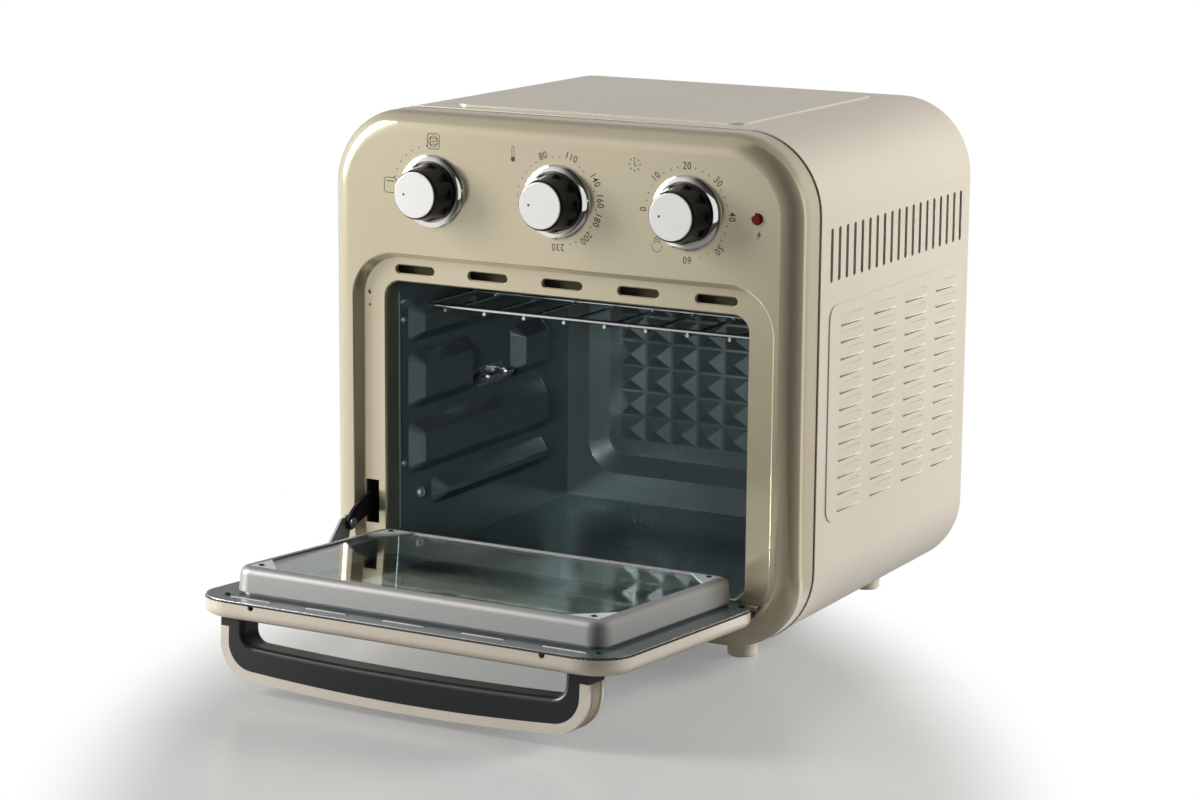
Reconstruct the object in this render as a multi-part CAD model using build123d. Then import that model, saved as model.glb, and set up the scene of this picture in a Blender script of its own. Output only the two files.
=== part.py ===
# Countertop air fryer oven with a bottom-hinged, drop-down glass door, shown with the door open.
# Millimetres. +X is to the right seen from the front, the front faces -Y, +Z is up.
# The model is laid out with y = 0 at the front of the fascia and z = 0 on the table,
# then everything moves back by one shift so that the origin is under the middle of the open oven.
from build123d import *
import math
import os

# Overall sizes
width = 320.0
height = 320.0
foot_height = 14.0
casing_rear = 252.0
fascia_depth = 26.0
corner_radius = 48.0

# Fascia
fascia_wall = 2.5
rim_radius = 13.0
crest_radius = 1.2
recess_half = width / 2 - 20.0
recess_bottom = 33.0
recess_top = height - 91.0
recess_radius = 26.0
recess_depth = 7.0
recess_draft = 3.6
opening_half = recess_half - 15.5
opening_bottom = 43.5
opening_top = recess_top - 15.0
opening_radius = 10.0
opening_edge = 0.8
latch_dimples = ((-recess_half + 4.2, recess_top - 23.0, 1.4), (-recess_half + 4.2, recess_top - 31.2, 0.8))

# Steel mouth that lines the opening behind the fascia
mouth_sheet = 1.2
return_depth = 22.0
hem_radius = 0.9

# Front vent slots above the opening
front_slot_count = 5
front_slot_pitch = 51.6
front_slot_length = 27.0
front_slot_width = 5.0
front_slot_z = recess_top - 7.2
front_slot_chamfer = 0.7

# Knobs and their scales
knob_pitch = 86.5
knob_z = height - 47.4
bezel_radius = 22.4
bezel_bore_radius = 18.3
bezel_height = 5.0
knob_radius = 17.4
knob_front_radius = 15.0
knob_length = 19.0
knob_gap = 1.0
knob_flutes = 10
cap_radius = 13.9
cap_thickness = 1.6
shaft_radius = 3.0
shaft_rear = 24.0
running_clearance = 0.05
lens_x = width / 2 - 27.9
lens_radius = 3.5
control_front = fascia_wall
control_sheet = 1.2

# Outer casing
casing_sheet = 1.0
side_slot_pitch = 10.8
side_slot_start = 43.0
side_slot_width = 3.6
side_slot_count = int((casing_rear - 12.0 - side_slot_start) / side_slot_pitch) + 1
side_slot_bottom = height - 88.0
side_slot_top = height - 56.0
louvre_columns = 4
louvre_start_y = 69.6
louvre_pitch_y = 47.6
louvre_top_z = height - 112.0
louvre_pitch_z = 10.2
louvre_length = 31.0
louvre_height = 5.6
louvre_rise = 2.0
panel_front = 41.0
panel_rear = casing_rear - 10.0
panel_bottom = 87.5
panel_top = height - 102.0
panel_radius = 9.0
louvre_rows = int((louvre_top_z - panel_bottom - 6.0) / louvre_pitch_z) + 1
emboss = 0.8
top_panel_half = width / 2 - 61.0
top_panel_front = 46.0
top_panel_rear = casing_rear - 16.0

# Rear cover and cord gland
cover_bulge = 10.0
gland_x = width / 2 - 26.0
gland_z = 70.0
gland_neck = 6.0
gland_bore = 3.6
cover_screws = [(sx * (width / 2 - 22.0), z) for sx in (-1, 1) for z in (110.0, height - 95.0)]
cover_screws += [(sx * 60.0, z) for sx in (-1, 1) for z in (foot_height + 16.0, height - 14.0)]

# Cavity
cavity_sheet = 0.8
cavity_half = opening_half
cavity_rear = casing_rear - 14.3
cavity_floor = 32.6
cavity_ceiling = opening_top + 12.0
boss_rise = 8.0
boss_front = 33.0
boss_rear = cavity_rear - 33.7
boss_top = cavity_ceiling - 30.0
wall_bosses = [
    (boss_front, boss_rear, boss_top - 26.0, boss_top),
    (boss_front, 106.0, boss_top - 68.5, boss_top - 31.5),
    (159.0, boss_rear, boss_top - 68.5, boss_top - 34.0),
    (boss_front, boss_rear, boss_top - 110.0, boss_top - 76.0),
    (60.0, boss_rear, cavity_floor + 28.4, cavity_floor + 47.4),
]
pan_half = cavity_half - 16.5
pan_bottom = 51.4
pan_top = cavity_ceiling - 14.0
pan_depth = 8.5
pan_slope = 11.5
stud_width = 19.6
stud_pitch_z = 17.3
stud_rise = 4.5
stud_bottom = 73.6
stud_columns = int(2 * (pan_half - pan_slope) / stud_width)
stud_rows = int((pan_top - pan_slope - stud_bottom) / stud_pitch_z)

# Rack
rack_wire = 3.0
rack_bar = 2.2
rack_half = cavity_half - 4.5
rack_front = 45.0
rack_rear = cavity_rear - 5.7
rack_z = boss_top - 2.1
rack_bar_pitch = 28.3
rack_first_bar = -rack_half + 16.0
rack_bars = int((rack_half - 8.0 - rack_first_bar) / rack_bar_pitch) + 1

# Door, described shut, and turned open about its hinge axis at the end
door_open_angle = 86.2
hinge_y = 3.5
hinge_z = 41.3
door_half = recess_half - 1.5
door_bottom = 38.6
door_top = recess_top - 1.0
door_top_radius = 24.0
door_bottom_radius = 24.0
door_gap = 1.1
door_thickness = 11.0
skin_sheet = 1.5
skin_edge_radius = 5.0
liner_sheet = 1.0
window_bottom = 72.0
frame_half = opening_half - 1.8
frame_bottom = opening_bottom + 2.0
frame_top = opening_top - 6.0
frame_height = 16.0
frame_draft = 1.0
frame_corner = 11.0
frame_bullnose = 4.6
frame_shadow_gap = 1.8
frame_shadow_inset = 3.0
pane_half = frame_half - 7.2
pane_bottom = frame_bottom + 6.5
pane_top = frame_top - 6.5
pane_thickness = 4.0
pane_corner_x = 16.0
pane_corner_z = 20.0
pane_ledge = 9.0
clip_sheet = 0.8
clip_reach = 3.0
window_half = pane_half - 17.5
window_top = pane_top - 11.5
outer_pane_thickness = 3.0
hinge_pin_radius = 2.0
pin_inner = door_half - 19.5
pin_outer = door_half - 2.5
skin_notch_x = door_half - 43.0
skin_notch_radius = 2.0
liner_slot_length = 30.0
liner_screw_places = [(sx * (door_half - 16.5), door_top - 15.0) for sx in (-1, 1)]
liner_screw_places += [(sx * (door_half - 8.5), door_bottom + 13.4) for sx in (-1, 1)]

# Handle, on the outside of the door near its top edge
handle_half = door_half - 17.5
handle_leg = 15.0
handle_reach = 39.5
handle_bow = 5.0
handle_depth = 18.0
handle_z = door_top - 17.0
handle_bar = 21.5
handle_corner = 22.0
handle_shell = 5.5
handle_foot = 5.7
inlay_width = 9.0
trim_width = 1.3
inlay_depth = 1.0

# Hinge arm, on the left only, with its bracket on the door and its spring beside the cavity
arm_pin_t = 22.5
arm_pin_n = 21.8
arm_sheet = 2.0
bracket_sheet = 1.5
arm_pin_radius = 2.0
slot_inner = recess_half - 10.0
slot_outer = recess_half - 0.4
slot_bottom = 59.5
slot_top = 87.2
spring_x = door_half - 3.3
spring_rear_y = 186.0
spring_rear_z = 56.0

# Fan, motor and heaters
fan_y = casing_rear - 124.0
fan_room_radius = 78.0
fan_room_height = 30.0
impeller_radius = 62.0
impeller_blades = 10
fan_shaft_radius = 3.0
motor_radius = 28.0
motor_height = 24.0
heater_radius = 3.25

# Feet
foot_radius = 9.0
foot_x = width / 2 - 54.0
foot_front_y = 43.8
foot_rear_y = casing_rear - 26.0
foot_places = [(sx * foot_x, y) for sx in (-1, 1) for y in (foot_front_y, foot_rear_y)]

# Thermostat bulb on the left cavity wall
bulb_radius = 2.4
bulb_front = 110.0
bulb_rear = 152.0
bulb_z = 134.5

# Worked-out places
casing_bottom = foot_height
casing_mid = (height + casing_bottom) / 2
casing_height = height - casing_bottom
door_inner_y = recess_depth - door_gap
door_outer_y = door_inner_y - door_thickness
os.makedirs("parts", exist_ok=True)


def rounded(left, right, low, high, radius):
    """Rounded rectangle given by its four sides, in the plane it will be extruded from."""
    shape = RectangleRounded(right - left, high - low, radius)
    return Pos((left + right) / 2, (low + high) / 2) * shape


def block(left, right, low, high):
    """Plain rectangle given by its four sides."""
    return Pos((left + right) / 2, (low + high) / 2) * Rectangle(right - left, high - low)


def from_front(outline, front, rear):
    """Solid of an outline drawn as X across and Z up, reaching from y = front to y = rear."""
    return extrude(Plane.XZ.offset(-rear) * outline, rear - front)


def from_side(outline, left, right):
    """Solid of an outline drawn as Y across and Z up, reaching from x = left to x = right."""
    return extrude(Plane.YZ.offset(left) * outline, right - left)


def from_above(outline, low, high):
    """Solid of an outline drawn as X across and Y up, reaching from z = low to z = high."""
    return extrude(Plane.XY.offset(low) * outline, high - low)


def across(radius, left, right, y, z):
    """Round bar along X."""
    return from_side(Pos(y, z) * Circle(radius), left, right)


def along(radius, front, rear, x, z):
    """Round bar along Y."""
    return from_front(Pos(x, z) * Circle(radius), front, rear)


def upright(radius, low, high, x, y):
    """Round bar along Z."""
    return from_above(Pos(x, y) * Circle(radius), low, high)


def joined(pieces):
    """Fuse a list of solids into one piece."""
    return pieces[0].fuse(*pieces[1:])


def both_sides(piece):
    """A piece and its mirror image across the middle of the oven, as a group."""
    return [piece, mirror(piece, about=Plane.YZ)]


def tapered(outline_low, plane_low, outline_high, plane_high):
    """Solid lofted between two outlines on two planes."""
    return loft([plane_low * outline_low, plane_high * outline_high], ruled=True)


nodes = {}
knob_places = [-knob_pitch, 0.0, knob_pitch]
front_slots = [(i - (front_slot_count - 1) / 2) * front_slot_pitch for i in range(front_slot_count)]


def casing_outline(inset):
    """Outline of the casing seen from the front, drawn in by an inset."""
    half = width / 2 - inset
    return rounded(-half, half, casing_bottom + inset, height - inset, corner_radius - inset)


def recess_outline(grow):
    """Outline of the recess for the shut door, larger on every side by a given amount."""
    return rounded(-recess_half - grow, recess_half + grow, recess_bottom - grow, recess_top + grow,
                   recess_radius + grow)


def opening_outline(grow):
    """Outline of the oven's opening, larger on every side by a given amount."""
    return rounded(-opening_half - grow, opening_half + grow, opening_bottom - grow, opening_top + grow,
                   opening_radius + grow)


def make_fascia():
    """Moulded front: a rolled rim and a drafted recess that the shut door lies in, with the opening."""
    outer = from_front(casing_outline(0), 0, fascia_depth)
    outer = fillet(outer.faces().sort_by(Axis.Y)[0].edges(), rim_radius)
    hollow = from_front(casing_outline(fascia_wall), fascia_wall, fascia_depth)
    hollow = fillet(hollow.faces().sort_by(Axis.Y)[0].edges(), rim_radius - fascia_wall)
    shell = outer - hollow
    tub_grow = recess_draft + fascia_wall
    tub_body = from_front(recess_outline(tub_grow), fascia_wall / 2, recess_depth + fascia_wall) & outer
    shell = shell + tub_body
    shell = shell - tapered(recess_outline(0), Plane.XZ.offset(-recess_depth),
                            recess_outline(recess_draft), Plane.XZ)
    crest_half = recess_half + recess_draft
    crest_low = recess_bottom - recess_draft - 0.01
    crest_high = recess_top + recess_draft + 0.01
    rim_edges = [e for e in shell.edges() if abs(e.center().Y) < 0.01 and e.bounding_box().size.Y < 0.01
                 and abs(e.center().X) <= crest_half + 0.01 and crest_low < e.center().Z < crest_high]
    shell = fillet(rim_edges, crest_radius)
    shell = shell - from_front(opening_outline(0), -1, recess_depth + fascia_wall + 1)
    shell = shell - tapered(opening_outline(0), Plane.XZ.offset(-recess_depth - opening_edge),
                            opening_outline(opening_edge), Plane.XZ.offset(-recess_depth))
    cuts = []
    for x in front_slots:
        slot = Pos(x, front_slot_z) * SlotOverall(front_slot_length, front_slot_width)
        grow = 2 * front_slot_chamfer
        lip = Pos(x, front_slot_z) * SlotOverall(front_slot_length + grow, front_slot_width + grow)
        cuts.append(from_front(slot, recess_depth - 1, recess_depth + fascia_wall + 1))
        cuts.append(tapered(slot, Plane.XZ.offset(-recess_depth - front_slot_chamfer),
                            lip, Plane.XZ.offset(-recess_depth)))
    for x, z, radius in latch_dimples:
        cuts.append(along(radius, recess_depth - 1, recess_depth + 1.2, x, z))
    for x in knob_places:
        cuts.append(along(shaft_radius + 1.0, -1, fascia_wall + 1, x, knob_z))
    cuts.append(along(lens_radius, -1, fascia_wall + 1, lens_x, knob_z))
    cuts.append(from_front(block(-slot_outer, -slot_inner, slot_bottom, slot_top),
                           recess_depth - 1, recess_depth + fascia_wall + 1))
    cuts += both_sides(across(hinge_pin_radius, pin_inner, pin_outer, hinge_y, hinge_z))
    return shell - cuts


def make_mouth():
    """Dark steel ring that lines the opening between the fascia and the cavity."""
    ring = opening_outline(mouth_sheet) - opening_outline(0)
    return from_front(ring, recess_depth + fascia_wall, return_depth)


def louvre(y, z):
    """One pressed scoop on the right side: it rises towards the rear and is open at that end."""
    skin = width / 2 + emboss
    front = y - louvre_length / 2
    rear = y + louvre_length / 2
    ramp = make_face(Polyline((skin - casing_sheet, front), (skin, front), (skin + louvre_rise, rear - 4),
                              (skin + louvre_rise, rear), (skin - casing_sheet, rear), close=True))
    body = from_above(ramp, z - louvre_height / 2, z + louvre_height / 2)
    sheet = casing_sheet * 0.7
    peak = skin + louvre_rise - sheet
    inside = make_face(Polyline((skin - 2 * casing_sheet, front + 12), (skin - casing_sheet, front + 12),
                                (peak, rear - 4), (peak, rear + 1.6),
                                (skin - 2 * casing_sheet, rear + 1.6), close=True))
    room = from_above(inside, z - louvre_height / 2 + sheet, z + louvre_height / 2 - sheet)
    return body, room


def make_casing():
    """Wrapped sheet casing: slots and louvres on both sides, a raised panel on the sides and top."""
    ring = casing_outline(0) - casing_outline(casing_sheet)
    wrap = from_front(ring, fascia_depth, casing_rear)
    side = rounded(panel_front, panel_rear, panel_bottom, panel_top, panel_radius)
    side_inside = rounded(panel_front + casing_sheet, panel_rear - casing_sheet, panel_bottom + casing_sheet,
                          panel_top - casing_sheet, panel_radius - casing_sheet)
    half = width / 2
    raised = [from_side(side, half - casing_sheet, half + emboss)]
    rooms = [from_side(side_inside, half - casing_sheet - 1, half + emboss - casing_sheet)]
    scoops = []
    scoop_rooms = []
    for column in range(louvre_columns):
        for row in range(louvre_rows):
            y = louvre_start_y + column * louvre_pitch_y
            body, room = louvre(y, louvre_top_z - row * louvre_pitch_z)
            scoops.append(body)
            scoop_rooms.append(room)
    slots = []
    for i in range(side_slot_count):
        y = side_slot_start + i * side_slot_pitch
        slot = Pos(y, (side_slot_bottom + side_slot_top) / 2) * Rot(0, 0, 90) * SlotOverall(
            side_slot_top - side_slot_bottom, side_slot_width)
        slots.append(from_side(slot, half - 2 * casing_sheet, half + 1))
    cap = rounded(-top_panel_half, top_panel_half, top_panel_front, top_panel_rear, panel_radius)
    cap_inside = rounded(-top_panel_half + casing_sheet, top_panel_half - casing_sheet,
                         top_panel_front + casing_sheet, top_panel_rear - casing_sheet,
                         panel_radius - casing_sheet)
    half_wrap = wrap & Pos(half / 2, (fascia_depth + casing_rear) / 2, casing_mid) * Box(
        half, casing_rear, height)
    right = half_wrap + raised - rooms + scoops - scoop_rooms - slots
    body = right + mirror(right, about=Plane.YZ)
    body = body + from_above(cap, height - casing_sheet, height + emboss)
    body = body - from_above(cap_inside, height - casing_sheet - 1, height + emboss - casing_sheet)
    window = block(-foot_x + foot_radius, foot_x - foot_radius, fascia_depth + 12, casing_rear - 12)
    body = body - from_above(window, casing_bottom - 1, casing_bottom + casing_sheet + 1)
    holes = [upright(2.1, casing_bottom - 1, casing_bottom + casing_sheet + 1, x, y) for x, y in foot_places]
    return body - holes


def make_base():
    """Flat base plate inside the casing's turned-in bottom, with cooling slots."""
    low = casing_bottom + casing_sheet
    half = foot_x + 4
    plate = from_above(block(-half, half, fascia_depth + 2, casing_rear - 2), low, low + casing_sheet)
    cuts = []
    for sx in (-1, 1):
        for i in range(9):
            cuts.append(from_above(Pos(sx * 50, 70 + i * 16) * SlotOverall(60, 4), low - 1, low + 3))
    for x, y in foot_places:
        cuts.append(upright(2.1, low - 1, low + casing_sheet + 1, x, y))
    return plate - cuts


def make_feet():
    """Four moulded feet, each with a countersunk screw pocket in its underside."""
    feet = []
    screws = []
    for x, y in foot_places:
        foot = upright(foot_radius, 0, foot_height, x, y)
        foot = chamfer(foot.edges().group_by(Axis.Z)[0], 0.8)
        foot = foot - upright(4.5, 0, 6, x, y) - upright(2.1, 5, foot_height, x, y)
        feet.append(foot)
        head = upright(4.0, 3.4, 6, x, y)
        screws.append(head + upright(2.0, 6, casing_bottom + 2 * casing_sheet + 4, x, y))
    return feet, screws


def boss_shapes(front, rear, low, high):
    """Outer form of a pressed wall boss on the left wall, and the hollow behind it."""
    radius = 6.0
    inset = boss_rise * 0.95
    base = rounded(front, rear, low, high, radius)
    top = rounded(front + inset, rear - inset, low + inset, high - inset, 1.2)
    form = tapered(base, Plane.YZ.offset(-cavity_half), top, Plane.YZ.offset(-cavity_half + boss_rise))
    skin = cavity_sheet
    deep = rounded(front + skin, rear - skin, low + skin, high - skin, radius - skin)
    inset += skin
    deep_top = rounded(front + inset, rear - inset, low + inset, high - inset, 0.8)
    hollow = tapered(deep, Plane.YZ.offset(-cavity_half - skin),
                     deep_top, Plane.YZ.offset(-cavity_half + boss_rise - skin))
    return form, hollow


def make_side_wall():
    """Left cavity wall: a hemmed front edge and pressed bosses, the upper ones carrying the rack."""
    low = cavity_floor - cavity_sheet
    high = cavity_ceiling
    wall = from_side(block(return_depth, cavity_rear, low, high), -cavity_half - cavity_sheet, -cavity_half)
    forms = []
    hollows = []
    for front, rear, bottom, top in wall_bosses:
        form, hollow = boss_shapes(front, rear, bottom, top)
        forms.append(form)
        hollows.append(hollow)
    hem = upright(hem_radius, opening_bottom + opening_radius, opening_top - opening_radius,
                  -cavity_half, return_depth + hem_radius)
    return wall + forms + hem - hollows


def make_spring_tab():
    """Tab on the outside of the left cavity wall that holds the rear end of the hinge spring."""
    return from_front(block(-spring_x - 3, -cavity_half, spring_rear_z - 5, spring_rear_z + 5),
                      spring_rear_y, spring_rear_y + 1.2)


def make_rear_wall():
    """Rear wall with a pressed pan full of pyramid studs that scatter the heat."""
    sheet = cavity_sheet
    low = cavity_floor - sheet
    high = cavity_ceiling + sheet
    half = cavity_half + sheet
    wall = from_front(block(-half, half, low, high), cavity_rear, cavity_rear + sheet)

    def pan(front, grow):
        outer = rounded(-pan_half - grow, pan_half + grow, pan_bottom - grow, pan_top + grow, 22 + grow)
        inner_half = pan_half - pan_slope + grow
        inner = rounded(-inner_half, inner_half, pan_bottom + pan_slope - grow, pan_top - pan_slope + grow,
                        12 + grow)
        return tapered(outer, Plane.XZ.offset(-front), inner, Plane.XZ.offset(-front - pan_depth))

    wall = wall + pan(cavity_rear + sheet, 0.6) - pan(cavity_rear, 0)
    pan_outline = rounded(-pan_half, pan_half, pan_bottom, pan_top, 22)
    mouth = from_front(pan_outline, cavity_rear - 1, cavity_rear + 0.01)
    wall = wall - mouth
    studs = []
    dents = []
    floor = cavity_rear + pan_depth
    for column in range(stud_columns):
        for row in range(stud_rows):
            x = (column - (stud_columns - 1) / 2) * stud_width
            z = stud_bottom + (row + 0.5) * stud_pitch_z
            place = Pos(x, z)
            studs.append(tapered(place * Rectangle(stud_width - 0.4, stud_pitch_z - 0.4),
                                 Plane.XZ.offset(-floor - sheet / 2),
                                 place * Rectangle(0.6, 0.5), Plane.XZ.offset(-floor + stud_rise)))
            dents.append(tapered(place * Rectangle(stud_width - 3, stud_pitch_z - 3),
                                 Plane.XZ.offset(-floor - sheet - 0.1),
                                 place * Rectangle(0.6, 0.5), Plane.XZ.offset(-floor + stud_rise - 1.6)))
    return wall + studs - dents


def make_ceiling():
    """Cavity ceiling with a turned-down front lip and the mouth of the fan room."""
    sheet = cavity_sheet
    half = cavity_half + sheet
    plate = from_above(block(-half, half, return_depth, cavity_rear), cavity_ceiling, cavity_ceiling + sheet)
    lip = from_front(block(-cavity_half, cavity_half, opening_top, cavity_ceiling), return_depth,
                     return_depth + sheet)
    return plate + lip - upright(fan_room_radius - 6, cavity_ceiling - 1, cavity_ceiling + 2, 0, fan_y)


def make_floor():
    """Cavity floor with a front lip that rises to the opening."""
    sheet = cavity_sheet
    half = cavity_half
    plate = from_above(block(-half, half, return_depth, cavity_rear), cavity_floor - sheet, cavity_floor)
    lip = from_front(block(-half, half, cavity_floor, opening_bottom), return_depth, return_depth + sheet)
    return plate + lip


def make_fan_room():
    """Round steel cover over the ceiling's mouth, with feet for the motor bracket."""
    low = cavity_ceiling + cavity_sheet
    high = low + fan_room_height
    skirt = upright(fan_room_radius + 8, low, low + 1, 0, fan_y)
    can = upright(fan_room_radius, low, high, 0, fan_y)
    can = fillet(can.edges().group_by(Axis.Z)[-1], 6)
    inside = upright(fan_room_radius - 1, low - 1, high - 1, 0, fan_y)
    inside = fillet(inside.edges().group_by(Axis.Z)[-1], 5)
    return skirt + can - inside - upright(9, high - 4, high + 1, 0, fan_y)


def make_guard():
    """Round pressed guard under the fan: rings of slots around a solid middle."""
    disc = upright(fan_room_radius, cavity_ceiling - 1, cavity_ceiling, 0, fan_y)
    cuts = []
    for ring, (radius, count, length) in enumerate(((24, 8, 14), (38, 12, 15), (52, 16, 16), (64, 20, 16))):
        for i in range(count):
            turn = 360 / count * (i + 0.5 * (ring % 2))
            slot = Pos(0, fan_y) * Rot(0, 0, turn) * Pos(radius, 0) * Rot(0, 0, 90) * SlotOverall(length, 5)
            cuts.append(from_above(slot, cavity_ceiling - 2, cavity_ceiling + 1))
    return disc - cuts


def heater(level, front, rear, half):
    """Bent tube heater with both ends passing out through the right cavity wall."""
    out = cavity_half + 14
    middle = (front + rear) / 2
    turn = half * 0.7
    route = FilletPolyline(
        (out, front), (-half, front), (-half, middle - 20), (turn, middle - 20),
        (turn, middle + 20), (-half, middle + 20), (-half, rear), (out, rear), radius=12)
    path = Plane.XY.offset(level) * route
    start = Plane(origin=(out, front, level), x_dir=(0, 1, 0), z_dir=(-1, 0, 0))
    tube = sweep(start * Circle(heater_radius), path=path)
    bushes = []
    for y in (front, rear):
        bush = across(5.0, cavity_half + cavity_sheet, cavity_half + cavity_sheet + 6, y, level)
        bushes.append(bush - across(heater_radius, cavity_half, cavity_half + 20, y, level))
    return tube, bushes


def make_knob(x):
    """Fluted knob skirt, its cap disc, the shaft and the chrome ring behind it, at one place."""
    rear = -knob_gap
    front = rear - knob_length
    profile = make_face(Polyline((0, rear), (knob_radius, rear), (knob_radius, rear - 5),
                                 (knob_front_radius, front + 1.2), (knob_front_radius - 1.2, front),
                                 (0, front), close=True))
    body = revolve(profile, Axis.Y)
    flutes = []
    for i in range(knob_flutes):
        turn = 360 / knob_flutes * i
        flute = Rot(0, turn, 0) * along(4.2, front - 1, rear - 4.5, knob_radius + 2.4, 0)
        flutes.append(flute)
    body = body - flutes
    body = body - along(shaft_radius, front + cap_thickness + 3, rear + 1, 0, 0)
    seat = along(cap_radius, front - 1, front + cap_thickness, 0, 0)
    body = body - seat
    cap = along(cap_radius, front - 0.5, front + cap_thickness, 0, 0)
    cap = fillet(cap.edges().group_by(Axis.Y)[0], 0.4)
    shaft = along(shaft_radius, front + cap_thickness + 3, shaft_rear, 0, 0)
    ring_profile = make_face(Polyline(
        (bezel_bore_radius, 0), (bezel_radius, 0), (bezel_radius, -1.4), (bezel_radius - 1.0, -1.8),
        (bezel_bore_radius + 1.1, -bezel_height), (bezel_bore_radius, -bezel_height), close=True))
    ring = revolve(ring_profile, Axis.Y)
    place = Pos(x, 0, knob_z)
    return place * body, place * cap, place * shaft, place * ring


def make_controls():
    """Steel plate behind the fascia and the three rotary controls that hang on it."""
    plate_outline = rounded(-knob_pitch - 31.5, knob_pitch + 31.5, knob_z - 26.6, knob_z + 26.4, 4)
    plate = from_front(plate_outline, control_front, control_front + control_sheet)
    bodies = []
    behind = control_front + control_sheet
    shapes = (rounded(-19, 19, -18, 18, 3), rounded(-21, 21, -16, 20, 2), Circle(25))
    depths = (26, 24, 34)
    for x, shape, depth in zip(knob_places, shapes, depths):
        plate = plate - along(4.8, 0, 10, x, knob_z)
        body = from_front(Pos(x, knob_z) * shape, behind, behind + depth)
        neck = along(4.6, control_front, behind, x, knob_z)
        body = body + neck
        for side in (-1, 1):
            body = body + from_front(block(x + side * 9 - 3, x + side * 9 + 3, knob_z - 3, knob_z - 2.2),
                                     behind + depth, behind + depth + 7)
        bodies.append(body - along(shaft_radius + running_clearance, 0, shaft_rear + 0.5, x, knob_z))
    return plate, bodies


def make_rear_cover():
    """Rear cover: a flat sheet with a pressed bulge behind the cavity, vents and a cord opening."""
    sheet = casing_sheet
    edge = casing_outline(casing_sheet)
    plate = from_front(edge, casing_rear - sheet, casing_rear)
    bulge = cover_bulge
    half = width / 2 - 42.0
    top = height - 86.0
    bulge_outline = rounded(-half, half, 44, top, 18)
    bulge_top = rounded(-half + 6, half - 6, 50, top - 6, 14)
    shape = tapered(bulge_outline, Plane.XZ.offset(-casing_rear),
                    bulge_top, Plane.XZ.offset(-casing_rear - bulge))
    room_low = rounded(-half + sheet, half - sheet, 44 + sheet, top - sheet, 17)
    room_top = rounded(-half + 6 + sheet, half - 6 - sheet, 50 + sheet, top - 6 - sheet, 13)
    room = tapered(room_low, Plane.XZ.offset(-casing_rear + sheet),
                   room_top, Plane.XZ.offset(-casing_rear - bulge + sheet))
    cover = plate + shape - room
    cuts = []
    for row in range(3):
        for i in range(13):
            slot = Pos((i - 6) * 14, height - 58 + row * 14) * SlotOverall(10, 4)
            cuts.append(from_front(slot, casing_rear - 2, casing_rear + 1))
    cuts.append(along(gland_neck, casing_rear - 2, casing_rear + 1, gland_x, gland_z))
    for x, z in cover_screws:
        cuts.append(along(1.6, casing_rear - 2, casing_rear + 1, x, z))
    return cover - cuts


def pan_screw(radius, length):
    """Pan-head screw pointing back along +Y, its head in front of y = 0."""
    head = along(radius, -radius * 0.7, 0, 0, 0)
    head = fillet(head.edges().group_by(Axis.Y)[0], radius * 0.45)
    return head + along(radius * 0.5, 0, length, 0, 0)


def door_outline(inset):
    """Outline of the shut door seen from the front: larger corners at the top than at the hinge."""
    half = door_half - inset
    shape = block(-half, half, door_bottom + inset, door_top - inset)
    corners = shape.vertices().group_by(Axis.Y)
    shape = fillet(corners[-1], door_top_radius - inset)
    return fillet(shape.vertices().group_by(Axis.Y)[0], door_bottom_radius - inset)


def chamfered_pane(half, low, high, cut_x, cut_z):
    """Rectangle with its four corners cut off."""
    short = half - cut_x
    return make_face(Polyline(
        (-short, low), (short, low), (half, low + cut_z), (half, high - cut_z),
        (short, high), (-short, high), (-half, high - cut_z), (-half, low + cut_z), close=True))


def frame_outline(inset):
    """Outline of the glass frame, drawn in by an inset."""
    half = frame_half - inset
    return rounded(-half, half, frame_bottom + inset, frame_top - inset, frame_corner - inset)


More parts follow.
